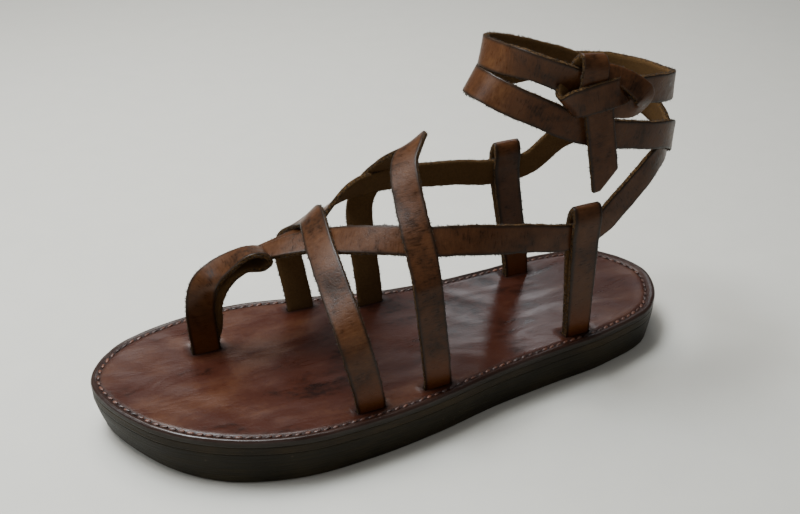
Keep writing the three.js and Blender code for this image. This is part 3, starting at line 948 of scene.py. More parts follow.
@dataclass
class SoleLayer:
    """One closed layer of the sole from side rings and two caps."""

    name: str
    outline: Outline
    across: int

    def solid(
        self,
        rings: Sequence[tuple[np.ndarray, np.ndarray]],
        bottom: Callable[[np.ndarray, np.ndarray], np.ndarray],
        top: Callable[[np.ndarray, np.ndarray], np.ndarray],
    ) -> bpy.types.Object:
        """Makes the layer.

        Args:
            rings: Inset and height of each ring, from the bottom cap's edge to the top cap's.
            bottom: Height of the bottom cap at x, y.
            top: Height of the top cap at x, y.

        Returns:
            The mesh object.
        """
        count = self.outline.count
        stack = []
        for inset, height in rings:
            flat = self.outline.ring(inset)
            stack.append(np.column_stack([flat, np.broadcast_to(height, count)]))
        points = [np.vstack(stack)]
        faces = ring_faces(len(stack), count)
        offset = len(stack) * count
        for ring_number, height, facing_up in ((0, bottom, False), (len(stack) - 1, top, True)):
            inner, quads = self.cap(stack[ring_number], ring_number * count, offset, height, facing_up)
            points.append(inner)
            faces.extend(quads)
            offset += len(inner)
        return make_object(self.name, np.vstack(points), faces)

    def cap(
        self,
        ring: np.ndarray,
        ring_offset: int,
        offset: int,
        height: Callable[[np.ndarray, np.ndarray], np.ndarray],
        facing_up: bool,
    ) -> tuple[np.ndarray, list[tuple[int, ...]]]:
        """Points inside a ring and the faces that close it.

        Args:
            ring: The ring's points.
            ring_offset: Number of the ring's first point.
            offset: Number of the first new point.
            height: Height of the cap at x, y.
            facing_up: Whether the cap is seen from above.

        Returns:
            New points, and faces.
        """
        count, half = len(ring), len(ring) // 2
        shares = np.linspace(0.0, 1.0, self.across + 1)[1:-1]
        numbers = np.empty((half + 1, self.across + 1), dtype=int)
        numbers[:, 0] = ring_offset + np.arange(half + 1)
        numbers[:, -1] = ring_offset + (count - np.arange(half + 1)) % count
        numbers[0, :] = ring_offset
        numbers[-1, :] = ring_offset + half
        first, last = ring[1:half], ring[(count - np.arange(1, half)) % count]
        inside = first[:, None, :2] + (last - first)[:, None, :2] * shares[None, :, None]
        rows, columns = inside.shape[:2]
        numbers[1:half, 1:-1] = offset + np.arange(rows * columns).reshape(rows, columns)
        flat = inside.reshape(-1, 2)
        points = np.column_stack([flat, height(flat[:, 0], flat[:, 1])])
        faces = []
        for i in range(half):
            for j in range(self.across):
                quad = [numbers[i, j], numbers[i, j + 1], numbers[i + 1, j + 1], numbers[i + 1, j]]
                kept = list(dict.fromkeys(int(n) for n in quad))
                if len(kept) > 2:
                    faces.append(tuple(kept if facing_up else kept[::-1]))
        return points, faces


@dataclass
class Outsole:
    """The thick rubber sole."""

    outline: Outline
    sizes: Sizes
    belly: float = 0.35
    hidden_gap: float = 0.3
    edge_rings: int = 6
    wall_rings: int = 9
    wall_shares: tuple[float, float] = (0.15, 0.95)
    across: int = 24

    def build(self, finish: SoleEdge) -> bpy.types.Object:
        """Makes and dresses the outsole.

        Args:
            finish: Its finish.

        Returns:
            The piece.
        """
        line, sizes = self.outline, self.sizes
        share = line.share(line.points[:, 0])
        spring, lean = line.toe_spring(share), line.lean(share)
        top = sizes.outsole - sizes.seam_gap + line.toe_rise(share)
        radius = sizes.outsole_edge_radius
        rings = []
        for angle in np.radians(np.linspace(0.0, 90.0, self.edge_rings)):
            inset = lean + radius * (1.0 - math.sin(angle))
            rings.append((inset, spring + radius * (1.0 - math.cos(angle))))
        for step in np.linspace(*self.wall_shares, self.wall_rings):
            curve = (1.0 - step) * ((1.0 - step) + 2.0 * self.belly * step)
            rings.append((lean * curve, spring + radius + (top - spring - radius) * step))
        rings.append((np.zeros(line.count), top - sizes.seam_lip))
        rings.append((np.full(line.count, sizes.seam_inset), top))
        layer = SoleLayer("outsole_body", line, self.across)
        piece = layer.solid(
            rings,
            lambda x, y: line.toe_spring(line.share(x)),
            lambda x, y: sizes.outsole - self.hidden_gap + line.toe_rise(line.share(x)),
        )
        piece.data.materials.append(finish.build())
        carry_over(piece, "outsole", Slot.OUTSOLE)
        return piece


@dataclass
class Midsole:
    """The thin layer between the outsole and the footbed, with inset and height of its side's rings."""

    outline: Outline
    sizes: Sizes
    side: tuple[tuple[float, float], ...] = ((0.0, 0.7), (0.05, 2.0), (0.0, 3.2), (0.0, 3.85))
    hidden_gap: float = 0.2
    hidden_dish: float = 0.2
    across: int = 24

    def build(self, finish: SoleEdge) -> bpy.types.Object:
        """Makes and dresses the midsole.

        Args:
            finish: Its finish.

        Returns:
            The piece.
        """
        line, sizes = self.outline, self.sizes
        rise = line.toe_rise(line.share(line.points[:, 0]))
        low, high = sizes.outsole, sizes.outsole + sizes.midsole - sizes.seam_gap
        foot = ((sizes.seam_inset, 0.0), (0.0, sizes.seam_lip))
        profile = (*foot, *self.side, (sizes.seam_inset, high - low))
        rings = [(np.full(line.count, inset), low + height + rise) for inset, height in profile]
        layer = SoleLayer("midsole_body", line, self.across)
        piece = layer.solid(
            rings,
            lambda x, y: low + line.toe_rise(line.share(x)) - line.dish(x, y) * self.hidden_dish,
            lambda x, y: high - self.hidden_gap + line.toe_rise(line.share(x)) - line.dish(x, y),
        )
        piece.data.materials.append(finish.build())
        carry_over(piece, "midsole", Slot.MIDSOLE)
        return piece


@dataclass(frozen=True)
class Opening:
    """A slot through the footbed, as a box that follows one or two straps."""

    centre: tuple[float, float]
    half_along: float
    half_across: float

    def distance(self, x: np.ndarray, y: np.ndarray) -> np.ndarray:
        """Distance of points to the slot's edge, 0 inside.

        Args:
            x: Places along the sole.
            y: Places across it.

        Returns:
            The distance of each point.
        """
        dx = np.maximum(np.abs(x - self.centre[0]) - self.half_along, 0.0)
        dy = np.maximum(np.abs(y - self.centre[1]) - self.half_across, 0.0)
        return np.hypot(dx, dy)


@dataclass
class Footbed:
    """The dished top layer with its stitch channel and slots."""

    outline: Outline
    sizes: Sizes
    openings: Sequence[Opening]
    groove_depth: float = 0.6
    groove_half_width: float = 0.95
    stitch_lift: float = 0.22
    heel_share: float = 0.17
    slot_sink: float = 0.5
    slot_reach: float = 1.9
    wave_height: float = 0.16
    wave_inset: tuple[float, float] = (4.0, 12.0)
    rim_wobble: float = 0.12
    point_pitch: float = 1.4
    wall_foot: float = 1.0
    edge_rings: int = 8
    across: int = 64
    cutter_reach: float = 10.0
    sharp_angle: float = 50.0
    ring_shifts: tuple[float, ...] = (-1.3, -1.0, -0.7, -0.4, -0.15, 0.15, 0.4, 0.7, 1.0, 1.4, 2.2, 3.4, 5.0)
    wall_inset: tuple[float, float] = (0.3, 1.2)
    wall_drop: tuple[float, float] = (0.7, 1.7)
    RIM_NOISE: ClassVar[tuple[int, float]] = (11, 6.0)
    WAVE_NOISES: ClassVar[tuple[tuple[int, float], ...]] = ((5, 17.0), (6, 13.0), (7, 9.0))
    FAR: ClassVar[float] = 400.0

    def stitch_inset(self, x: np.ndarray) -> np.ndarray:
        """Distance of the stitch row from the rim."""
        heel = 1.0 - smooth_step(0.0, self.heel_share, self.outline.share(x))
        return self.sizes.stitch_inset + (self.sizes.stitch_inset_heel - self.sizes.stitch_inset) * heel

    def groove(self, x: np.ndarray, inset: np.ndarray) -> np.ndarray:
        """Share of the stitch channel's depth."""
        return np.exp(-(((inset - self.stitch_inset(x)) / self.groove_half_width) ** 2))

    def well(self, x: np.ndarray, y: np.ndarray) -> np.ndarray:
        """How near a point is to a slot, 1 at its edge."""
        near = np.min([opening.distance(x, y) for opening in self.openings], axis=0)
        return np.exp(-((near / self.slot_reach) ** 2))

    def waves(self, x: np.ndarray, y: np.ndarray) -> np.ndarray:
        """Soft unevenness of the leather, drawn from noise along, across and on the slant.

        Args:
            x: Places along the sole.
            y: Places across it.

        Returns:
            Heights between -1.5 and 1.5.
        """
        along, across, slanting = (
            Wobble(*noise).at(run + self.FAR) for noise, run in zip(self.WAVE_NOISES, (x, y, x + y))
        )
        return along * across + 0.5 * slanting

    def height(self, x: np.ndarray, y: np.ndarray, inset: np.ndarray) -> np.ndarray:
        """Height of the footbed's top.

        Args:
            x: Places along the sole.
            y: Places across it.
            inset: Their distances from the rim.

        Returns:
            Heights over the floor.
        """
        drop = self.groove_depth * self.groove(x, inset) + self.slot_sink * self.well(x, y)
        base = self.sizes.rim_height + self.outline.toe_rise(self.outline.share(x))
        swell = self.wave_height * self.waves(x, y) * smooth_step(*self.wave_inset, inset)
        return base - self.outline.dish(x, y) - drop + swell

    def rings(self) -> list[tuple[np.ndarray, np.ndarray]]:
        """Insets and heights of the rings up the wall, round the edge and over the stitch channel.

        Returns:
            Inset and height of each ring, from the bottom inwards.
        """
        line, sizes = self.outline, self.sizes
        x = line.points[:, 0]
        rise = line.toe_rise(line.share(x))
        low = sizes.rim_height - sizes.footbed
        radius = sizes.footbed_edge_radius
        wobble = self.rim_wobble * Wobble(*self.RIM_NOISE).at(np.arange(line.count) * self.point_pitch)
        rings = [
            (np.full(line.count, sizes.seam_inset), low + rise),
            (np.zeros(line.count), low + sizes.seam_lip + rise),
            (np.zeros(line.count), low + self.wall_foot + rise),
        ]
        for angle in np.radians(np.linspace(0.0, 90.0, self.edge_rings)):
            inset = radius * (1.0 - math.cos(angle)) + wobble
            rings.append((inset, sizes.rim_height - radius * (1.0 - math.sin(angle)) + rise))
        stitch = self.stitch_inset(x)
        for shift in self.ring_shifts:
            inset = stitch + shift + wobble * 0.5
            flat = line.ring(inset)
            rings.append((inset, self.height(flat[:, 0], flat[:, 1], stitch + shift)))
        return rings

    def build(self, finish: FootbedLeather) -> bpy.types.Object:
        """Makes and dresses the footbed.

        Args:
            finish: Its finish.

        Returns:
            The piece.
        """
        line = self.outline
        low = self.sizes.rim_height - self.sizes.footbed
        layer = SoleLayer("footbed_body", line, self.across)
        piece = layer.solid(
            self.rings(),
            lambda x, y: low + line.toe_rise(line.share(x)) - line.dish(x, y),
            lambda x, y: self.height(x, y, line.distance(x, y)),
        )
        piece = self.slotted(piece)
        self.mark(piece.data)
        piece.data.materials.append(finish.build())
        carry_over(piece, "footbed", Slot.FOOTBED)
        return piece

    def slotted(self, piece: bpy.types.Object) -> bpy.types.Object:
        """Cuts the slots through the footbed.

        Args:
            piece: The uncut footbed, which is removed.

        Returns:
            The footbed with its slots.
        """
        corners = np.array([[sx, sy, sz] for sz in (-1, 1) for sy in (-1, 1) for sx in (-1, 1)], dtype=float)
        quads = [(0, 2, 3, 1), (4, 5, 7, 6), (0, 1, 5, 4), (2, 6, 7, 3), (0, 4, 6, 2), (1, 3, 7, 5)]
        points, faces = [], []
        for number, opening in enumerate(self.openings):
            half = np.array([opening.half_along, opening.half_across, self.cutter_reach])
            middle = np.array([*opening.centre, self.sizes.rim_height])
            points.append(corners * half + middle)
            faces.extend(tuple(corner + len(corners) * number for corner in quad) for quad in quads)
        cutter = make_object("footbed_cutter", np.vstack(points), faces)
        cut = piece.modifiers.new("slots", "BOOLEAN")
        cut.operation = "DIFFERENCE"
        cut.solver = "EXACT"
        cut.object = cutter
        bpy.context.view_layer.update()
        slotted = baked(piece, "footbed_body")
        bpy.data.objects.remove(cutter)
        slotted.data.shade_smooth()
        slotted.data.set_sharp_from_angle(angle=math.radians(self.sharp_angle))
        return slotted

    def mark(self, mesh: bpy.types.Mesh) -> None:
        """Stores what the finish needs to know at each corner: the inset, slots, channel and wall.

        Args:
            mesh: The footbed's mesh.
        """
        x, y, z = mesh_points(mesh).T
        inset = self.outline.distance(x, y)
        rim = self.sizes.rim_height + self.outline.toe_rise(self.outline.share(x))
        least, most = self.wall_drop
        low = 1.0 - smooth_step(rim - most, rim - least, z)
        wall = (1.0 - smooth_step(*self.wall_inset, inset)) * low
        # The slot mark paints shade round the slots and dulls the leather there.
        marks = {"inset": inset * MM, "slot": self.well(x, y), "groove": self.groove(x, inset), "wall": wall}
        set_attributes(mesh, marks)

    def stitch_path(self) -> np.ndarray:
        """Closed path of the stitch row, on the channel's floor.

        Returns:
            Points of the path.
        """
        inset = self.stitch_inset(self.outline.points[:, 0])
        flat = self.outline.ring(inset)
        height = self.height(flat[:, 0], flat[:, 1], inset) + self.stitch_lift
        return np.column_stack([flat, height])


# Geometry Nodes


class GeometryRecipe(Graph):
    """A Geometry Nodes tree with named inputs that ends in real faces with a material."""

    def __init__(self, name: str, inputs: Mapping[str, tuple[str, object]]) -> None:
        """Starts the tree.

        Args:
            name: Name of the tree.
            inputs: Socket type and value of each named input.
        """
        super().__init__(bpy.data.node_groups.new(name, "GeometryNodeTree"))
        interface = self.tree.interface
        interface.new_socket("Geometry", in_out="INPUT", socket_type="NodeSocketGeometry")
        interface.new_socket("Geometry", in_out="OUTPUT", socket_type="NodeSocketGeometry")
        self.values = {}
        for label, (kind, value) in inputs.items():
            socket = interface.new_socket(label, in_out="INPUT", socket_type=kind)
            self.values[socket.identifier] = value
        self.start = self.add("NodeGroupInput")

    def given(self, label: str) -> Signal:
        """Signal of a named input."""
        return self.out(self.start, label)

    def random_vector(self, low: Operand, high: Operand, seed: Signal) -> Signal:
        """Random vector for each point, between low and high."""
        inputs = {0: low, 1: high, "Seed": seed}
        return self.out(self.add("FunctionNodeRandomValue", {"data_type": "FLOAT_VECTOR"}, inputs))

    def jittered(self, rotation: Signal, low: Operand, high: Operand, seed: Signal) -> Signal:
        """Turns a rotation further by random angles about its own directions.

        Args:
            rotation: The rotation at each point.
            low: Least angles in radians.
            high: Most angles.
            seed: Seed of the draw.

        Returns:
            The turned rotation.
        """
        angles = self.random_vector(low, high, seed)
        tilt = self.out(self.add("FunctionNodeEulerToRotation", {}, {0: angles}))
        inputs = {0: rotation, 1: tilt}
        return self.out(self.add("FunctionNodeRotateRotation", {"rotation_space": "LOCAL"}, inputs))

    def end(self, points: Signal, copied: Signal, rotation: Signal, size: Signal, material: Signal) -> None:
        """Ends the tree: a copy at each point, made into real faces with the material.

        Args:
            points: The points.
            copied: What each point gets.
            rotation: Its rotation.
            size: Its size as a share.
            material: Its material.
        """
        inputs = {"Points": points, "Instance": copied, "Rotation": rotation, "Scale": size}
        instances = self.out(self.add("GeometryNodeInstanceOnPoints", {}, inputs))
        real = self.out(self.add("GeometryNodeRealizeInstances", {}, {0: instances}))
        dressed = self.add("GeometryNodeSetMaterial", {}, {"Geometry": real, "Material": material})
        self.add("NodeGroupOutput", {}, {0: self.out(dressed)})

    def run(self, host: bpy.types.Object, name: str) -> bpy.types.Object:
        """Evaluates the tree on a helper object, which is removed.

        Args:
            host: The helper object.
            name: Name of the new object.

        Returns:
            The plain mesh object.
        """
        modifier = host.modifiers.new(self.tree.name, "NODES")
        modifier.node_group = self.tree
        for identifier, value in self.values.items():
            modifier[identifier] = value
        host.update_tag()
        bpy.context.view_layer.update()
        return baked(host, name)


@dataclass
class StitchRow:
    """The row of thick stitches round the footbed."""

    path: np.ndarray
    pitch: float = 4.1
    length: float = 3.3
    width: float = 1.5
    flatness: float = 0.75
    seed: int = 21
    size_seed_shift: float = 7.0
    least_turn: tuple[float, float, float] = (-0.12, -0.12, 0.06)
    most_turn: tuple[float, float, float] = (0.12, 0.12, 0.34)
    least_size: tuple[float, float, float] = (0.85, 0.8, 0.75)
    most_size: tuple[float, float, float] = (1.08, 1.15, 1.1)

    def recipe(self, material: bpy.types.Material) -> GeometryRecipe:
        """Tree that lays stitches along an edge path.

        Args:
            material: The thread's material.

        Returns:
            The tree.
        """
        g = GeometryRecipe(
            "footbed_stitch_row",
            {
                "Pitch": ("NodeSocketFloat", self.pitch * MM),
                "Length": ("NodeSocketFloat", self.length * MM),
                "Width": ("NodeSocketFloat", self.width * MM),
                "Seed": ("NodeSocketInt", self.seed),
                "Thread": ("NodeSocketMaterial", material),
            },
        )
        curve = g.out(g.add("GeometryNodeMeshToCurve", {}, {0: g.given("Geometry")}))
        spacing = {"Curve": curve, "Length": g.given("Pitch")}
        even = g.out(g.add("GeometryNodeResampleCurve", {"mode": "LENGTH"}, spacing))
        laid = g.add("GeometryNodeCurveToPoints", {"mode": "EVALUATED"}, {"Curve": even})
        turned = g.add(
            "FunctionNodeAxesToRotation",
            {"primary_axis": "X", "secondary_axis": "Z"},
            {0: g.out(laid, "Tangent"), 1: (0.0, 0.0, 1.0)},
        )
        ball = g.out(g.add("GeometryNodeMeshUVSphere", {}, {"Segments": 14, "Rings": 10, "Radius": 0.5}))
        thread = g.joined(g.given("Length"), g.given("Width"), g.given("Width") * self.flatness)
        stitch = g.out(g.add("GeometryNodeTransform", {}, {"Geometry": ball, "Scale": thread}))
        g.end(
            g.out(laid, "Points"),
            stitch,
            g.jittered(g.out(turned), self.least_turn, self.most_turn, g.given("Seed")),
            g.random_vector(self.least_size, self.most_size, g.given("Seed") + self.size_seed_shift),
            g.given("Thread"),
        )
        return g

    def build(self, finish: StitchThread) -> bpy.types.Object:
        """Makes and dresses the stitches.

        Args:
            finish: The thread.

        Returns:
            The stitches as one piece.
        """
        count = len(self.path)
        mesh = bpy.data.meshes.new("stitch_path")
        mesh.from_pydata((self.path * MM).tolist(), [(i, (i + 1) % count) for i in range(count)], [])
        host = bpy.data.objects.new("stitch_path", mesh)
        bpy.context.scene.collection.objects.link(host)
        piece = self.recipe(finish.build()).run(host, "footbed_stitches")
        piece.data.shade_smooth()
        carry_over(piece, "footbed", Slot.FOOTBED)
        return piece


@dataclass
class EdgeFibres:
    """Short fibres that stand out of the straps' cut edges."""

    density: float = 1300000.0
    length: float = 1.0
    thickness: float = 0.18
    sides: int = 4
    rawness: float = 0.6
    seed: int = 4
    turn_seed_shift: float = 3.0
    size_seed_shift: float = 9.0
    least_turn: tuple[float, float, float] = (-0.9, -0.9, 0.0)
    most_turn: tuple[float, float, float] = (0.9, 0.9, 6.28)
    size_range: tuple[float, float] = (0.35, 1.1)

    def recipe(self, material: bpy.types.Material) -> GeometryRecipe:
        """Tree that plants fibres on the faces marked as raw edge.

        Args:
            material: The fibres' material.

        Returns:
            The tree.
        """
        g = GeometryRecipe(
            "strap_edge_fibres",
            {
                "Density": ("NodeSocketFloat", self.density),
                "Length": ("NodeSocketFloat", self.length * MM),
                "Thickness": ("NodeSocketFloat", self.thickness * MM),
                "Seed": ("NodeSocketInt", self.seed),
                "Fibre": ("NodeSocketMaterial", material),
            },
        )
        raw = g.out(g.add("GeometryNodeInputNamedAttribute", {"data_type": "FLOAT"}, {"Name": "raw"}))
        more = {"data_type": "FLOAT", "operation": "GREATER_THAN"}
        scattered = g.add(
            "GeometryNodeDistributePointsOnFaces",
            {"distribute_method": "RANDOM"},
            {
                "Mesh": g.given("Geometry"),
                "Selection": g.out(g.add("FunctionNodeCompare", more, {0: raw, 1: self.rawness})),
                "Density": g.given("Density"),
                "Seed": g.given("Seed"),
            },
        )
        cone = g.add(
            "GeometryNodeMeshCone",
            {},
            {
                "Vertices": self.sides,
                "Radius Top": 0.0,
                "Radius Bottom": g.given("Thickness"),
                "Depth": g.given("Length"),
            },
        )
        least, most = self.size_range
        size = g.add(
            "FunctionNodeRandomValue",
            {"data_type": "FLOAT"},
            {2: least, 3: most, "Seed": g.given("Seed") + self.size_seed_shift},
        )
        turn_seed = g.given("Seed") + self.turn_seed_shift
        g.end(
            g.out(scattered, "Points"),
            g.out(cone, "Mesh"),
            g.jittered(g.out(scattered, "Rotation"), self.least_turn, self.most_turn, turn_seed),
            g.out(size, 1),
            g.given("Fibre"),
        )
        return g

    def build(self, straps: Sequence[bpy.types.Object], finish: Plain) -> bpy.types.Object:
        """Makes and dresses the fibres.

        Args:
            straps: The pieces whose raw edges carry fibres.
            finish: Their finish.

        Returns:
            The fibres as one piece.
        """
        points, faces, raws, offset = [], [], [], 0
        for strap in straps:
            mesh = strap.data
            raw = np.empty(len(mesh.vertices), dtype=np.float32)
            mesh.attributes["raw"].data.foreach_get("value", raw)
            points.append(mesh_points(mesh))
            raws.append(raw)
            faces.extend(tuple(v + offset for v in polygon.vertices) for polygon in mesh.polygons)
            offset += len(mesh.vertices)
        host = make_object("fibre_ground", np.vstack(points), faces, {"raw": np.concatenate(raws)})
        piece = self.recipe(finish.build()).run(host, "strap_fibres")
        carry_over(piece, "upper", Slot.STRAP)
        return piece


# Straps


class Last:
    """The foot the straps were tied on, as rings from upright at the toe to level at the ankle."""

    RIDGE_POWER = 1.5
    NEAR_STATION = 0.004
    NEAR_TURN = 1.5
    TABLE = Table(
        "top_along top_rise bottom_along bottom_rise outer inner shift round_top round_bottom ridge",
        [
            [0.909, 0.104, 0.916, 0.007, 0.114, 0.21, -0.248, 2.2, 2.6, -0.019],
            [0.87, 0.17, 0.877, 0.0, 0.286, 0.286, -0.133, 2.2, 2.8, -0.057],
            [0.786, 0.237, 0.8, 0.0, 0.362, 0.343, -0.057, 2.2, 3.0, -0.114],
            [0.702, 0.326, 0.709, 0.0, 0.41, 0.4, -0.019, 2.1, 3.0, -0.133],
            [0.625, 0.422, 0.632, 0.0, 0.41, 0.4, 0.0, 2.0, 3.0, -0.133],
            [0.561, 0.537, 0.554, 0.007, 0.371, 0.362, 0.0, 1.95, 3.0, -0.114],
            [0.507, 0.636, 0.47, 0.015, 0.343, 0.333, 0.0, 1.9, 2.8, -0.086],
            [0.46, 0.719, 0.365, 0.022, 0.314, 0.314, 0.0, 1.9, 2.6, -0.057],
            [0.425, 0.776, 0.239, 0.015, 0.305, 0.305, -0.01, 2.0, 2.5, -0.038],
            [0.402, 0.815, 0.119, 0.007, 0.305, 0.305, -0.019, 2.0, 2.3, -0.019],
            [0.387, 0.848, 0.035, 0.081, 0.305, 0.305, -0.019, 2.0, 2.1, 0.0],
            [0.376, 0.88, 0.015, 0.244, 0.295, 0.305, -0.019, 2.0, 2.0, 0.0],
            [0.366, 0.913, 0.026, 0.467, 0.286, 0.295, -0.019, 2.0, 2.0, 0.0],
            [0.358, 0.942, 0.032, 0.63, 0.286, 0.286, -0.019, 2.1, 2.1, 0.0],
            [0.35, 0.97, 0.042, 0.793, 0.286, 0.286, -0.019, 2.3, 2.3, 0.0],
            [0.344, 1.0, 0.056, 0.956, 0.295, 0.295, -0.019, 2.6, 2.6, 0.0],
        ],
    )

    def __init__(self, sizes: Sizes) -> None:
        """Keeps the sizes."""
        self.sizes = sizes

    def point(self, station: np.ndarray, turn: np.ndarray) -> np.ndarray:
        """Points on the last.

        Args:
            station: 0 at the toe to 1 at the ankle's top.
            turn: Degrees from the outer side over the top.

        Returns:
            Points in millimetres.
        """
        row = self.TABLE.read(np.asarray(station, float) * (len(self.TABLE.rows) - 1))
        angle = np.radians(turn)
        c, s = np.cos(angle), np.sin(angle)
        power = 2.0 / np.where(s >= 0, row["round_top"], row["round_bottom"])
        sideways = np.sign(c) * np.abs(c) ** power
        upwards = np.sign(s) * np.abs(s) ** power
        reach = np.where(c >= 0, row["outer"], row["inner"])
        ridge = row["ridge"] * np.maximum(0.0, upwards) ** self.RIDGE_POWER
        across = row["shift"] + reach * sideways + ridge
        height = (upwards + 1.0) / 2.0
        along = row["bottom_along"] + (row["top_along"] - row["bottom_along"]) * height
        rise = row["bottom_rise"] + (row["top_rise"] - row["bottom_rise"]) * height
        sizes = self.sizes
        return np.stack(
            [
                (along - 0.5) * sizes.sole_length,
                across * sizes.ball_width,
                sizes.rim_height + rise * sizes.ankle_height,
            ],
            axis=-1,
        )

    def normal(self, station: np.ndarray, turn: np.ndarray) -> np.ndarray:
        """Outward directions of the last's skin, from points a little way off.

        Args:
            station: 0 at the toe to 1 at the ankle's top.
            turn: Degrees from the outer side over the top.

        Returns:
            Directions of length one.
        """
        near, past = self.NEAR_STATION, self.NEAR_TURN
        along = self.point(station + near, turn) - self.point(station - near, turn)
        around = self.point(station, turn + past) - self.point(station, turn - past)
        return unit(np.cross(along, around))


@dataclass
class Pins:
    """Places that hold a strap's middle, the way its outer face looks there, and its share of width."""

    at: np.ndarray
    face: np.ndarray
    width: np.ndarray

    @staticmethod
    def joined(*parts: "Pins") -> "Pins":
        """Pins one after another."""
        return Pins(
            np.vstack([part.at for part in parts]),
            np.vstack([part.face for part in parts]),
            np.concatenate([part.width for part in parts]),
        )

    @staticmethod
    def of(at: Sequence[Sequence[float]], face: Sequence[Sequence[float]]) -> "Pins":
        """Pins of full width."""
        return Pins(np.array(at, float), unit(np.array(face, float)), np.ones(len(at)))

    def turned_back(self) -> "Pins":
        """The same pins in the other order."""
        return Pins(self.at[::-1], self.face[::-1], self.width[::-1])


@dataclass
class Placement:
    """Where straps can be pinned: on the last and in the footbed's slots."""

    sizes: Sizes
    outline: Outline
    last: Last
    pins_per_row: int = 5

    def run(self, table: Table) -> Pins:
        """Pins along a smooth run on the last.

        Args:
            table: Rows of station, turn and lift in strap thicknesses; width and tilt are optional.

        Returns:
            The pins.
        """
        count = (len(table.rows) - 1) * self.pins_per_row
        row = table.read(np.arange(count + 1) / self.pins_per_row)
        tilt = row.get("tilt", 0.0)
        off = self.last.normal(row["station"], row["turn"])
        face = self.last.normal(row["station"], row["turn"] + tilt)
        lift = (row["lift"] + 0.5) * self.sizes.strap_thickness
        at = self.last.point(row["station"], row["turn"]) + off * lift[:, None]
        return Pins(at, face, row.get("width", np.ones(count + 1)))

    def slot(self, along: float, side: Side, layer: float = 0.0) -> Pins:
        """Two pins up out of a slot, the lower one first.

        Args:
            along: Share of the sole's length from the heel.
            side: Side of the foot.
            layer: Strap thicknesses towards the sole's edge.

        Returns:
            The pins.
        """
        sizes = self.sizes
        x = float(self.outline.to_x(along))
        inset = sizes.slot_inset - layer * sizes.strap_thickness
        y = float(self.outline.edge(x, side)) - side.value * inset
        rise = float(self.outline.toe_rise(along))
        low = sizes.rim_height - sizes.footbed + sizes.clearance + rise
        high = sizes.rim_height + sizes.strap_thickness + rise
        return Pins.of([[x, y, low], [x, y, high]], [[0, side.value, 0]] * 2)

    def opening(self, along: float, side: Side, layers: int = 1) -> Opening:
        """The footbed's slot for one or two layers of strap.

        Args:
            along: Share of the sole's length from the heel.
            side: Side of the foot.
            layers: Count of straps in it.

        Returns:
            The slot.
        """
        x, y, _ = self.slot(along, side).at[0]
        half_across = self.sizes.strap_thickness * layers / 2 + self.sizes.clearance
        return Opening((x, y), self.sizes.strap_width / 2 + self.sizes.clearance, half_across)


@dataclass(frozen=True)
class Section:
    """Outline of a strap's cut, with one number per point in each array.

    Across is a share of half the width, and inset the millimetres that an edge point stands back. Height
    is a share of half the thickness. Grain and under are 1 on the grain side and on the underside.
    """

    across: np.ndarray
    inset: np.ndarray
    height: np.ndarray
    grain: np.ndarray
    under: np.ndarray


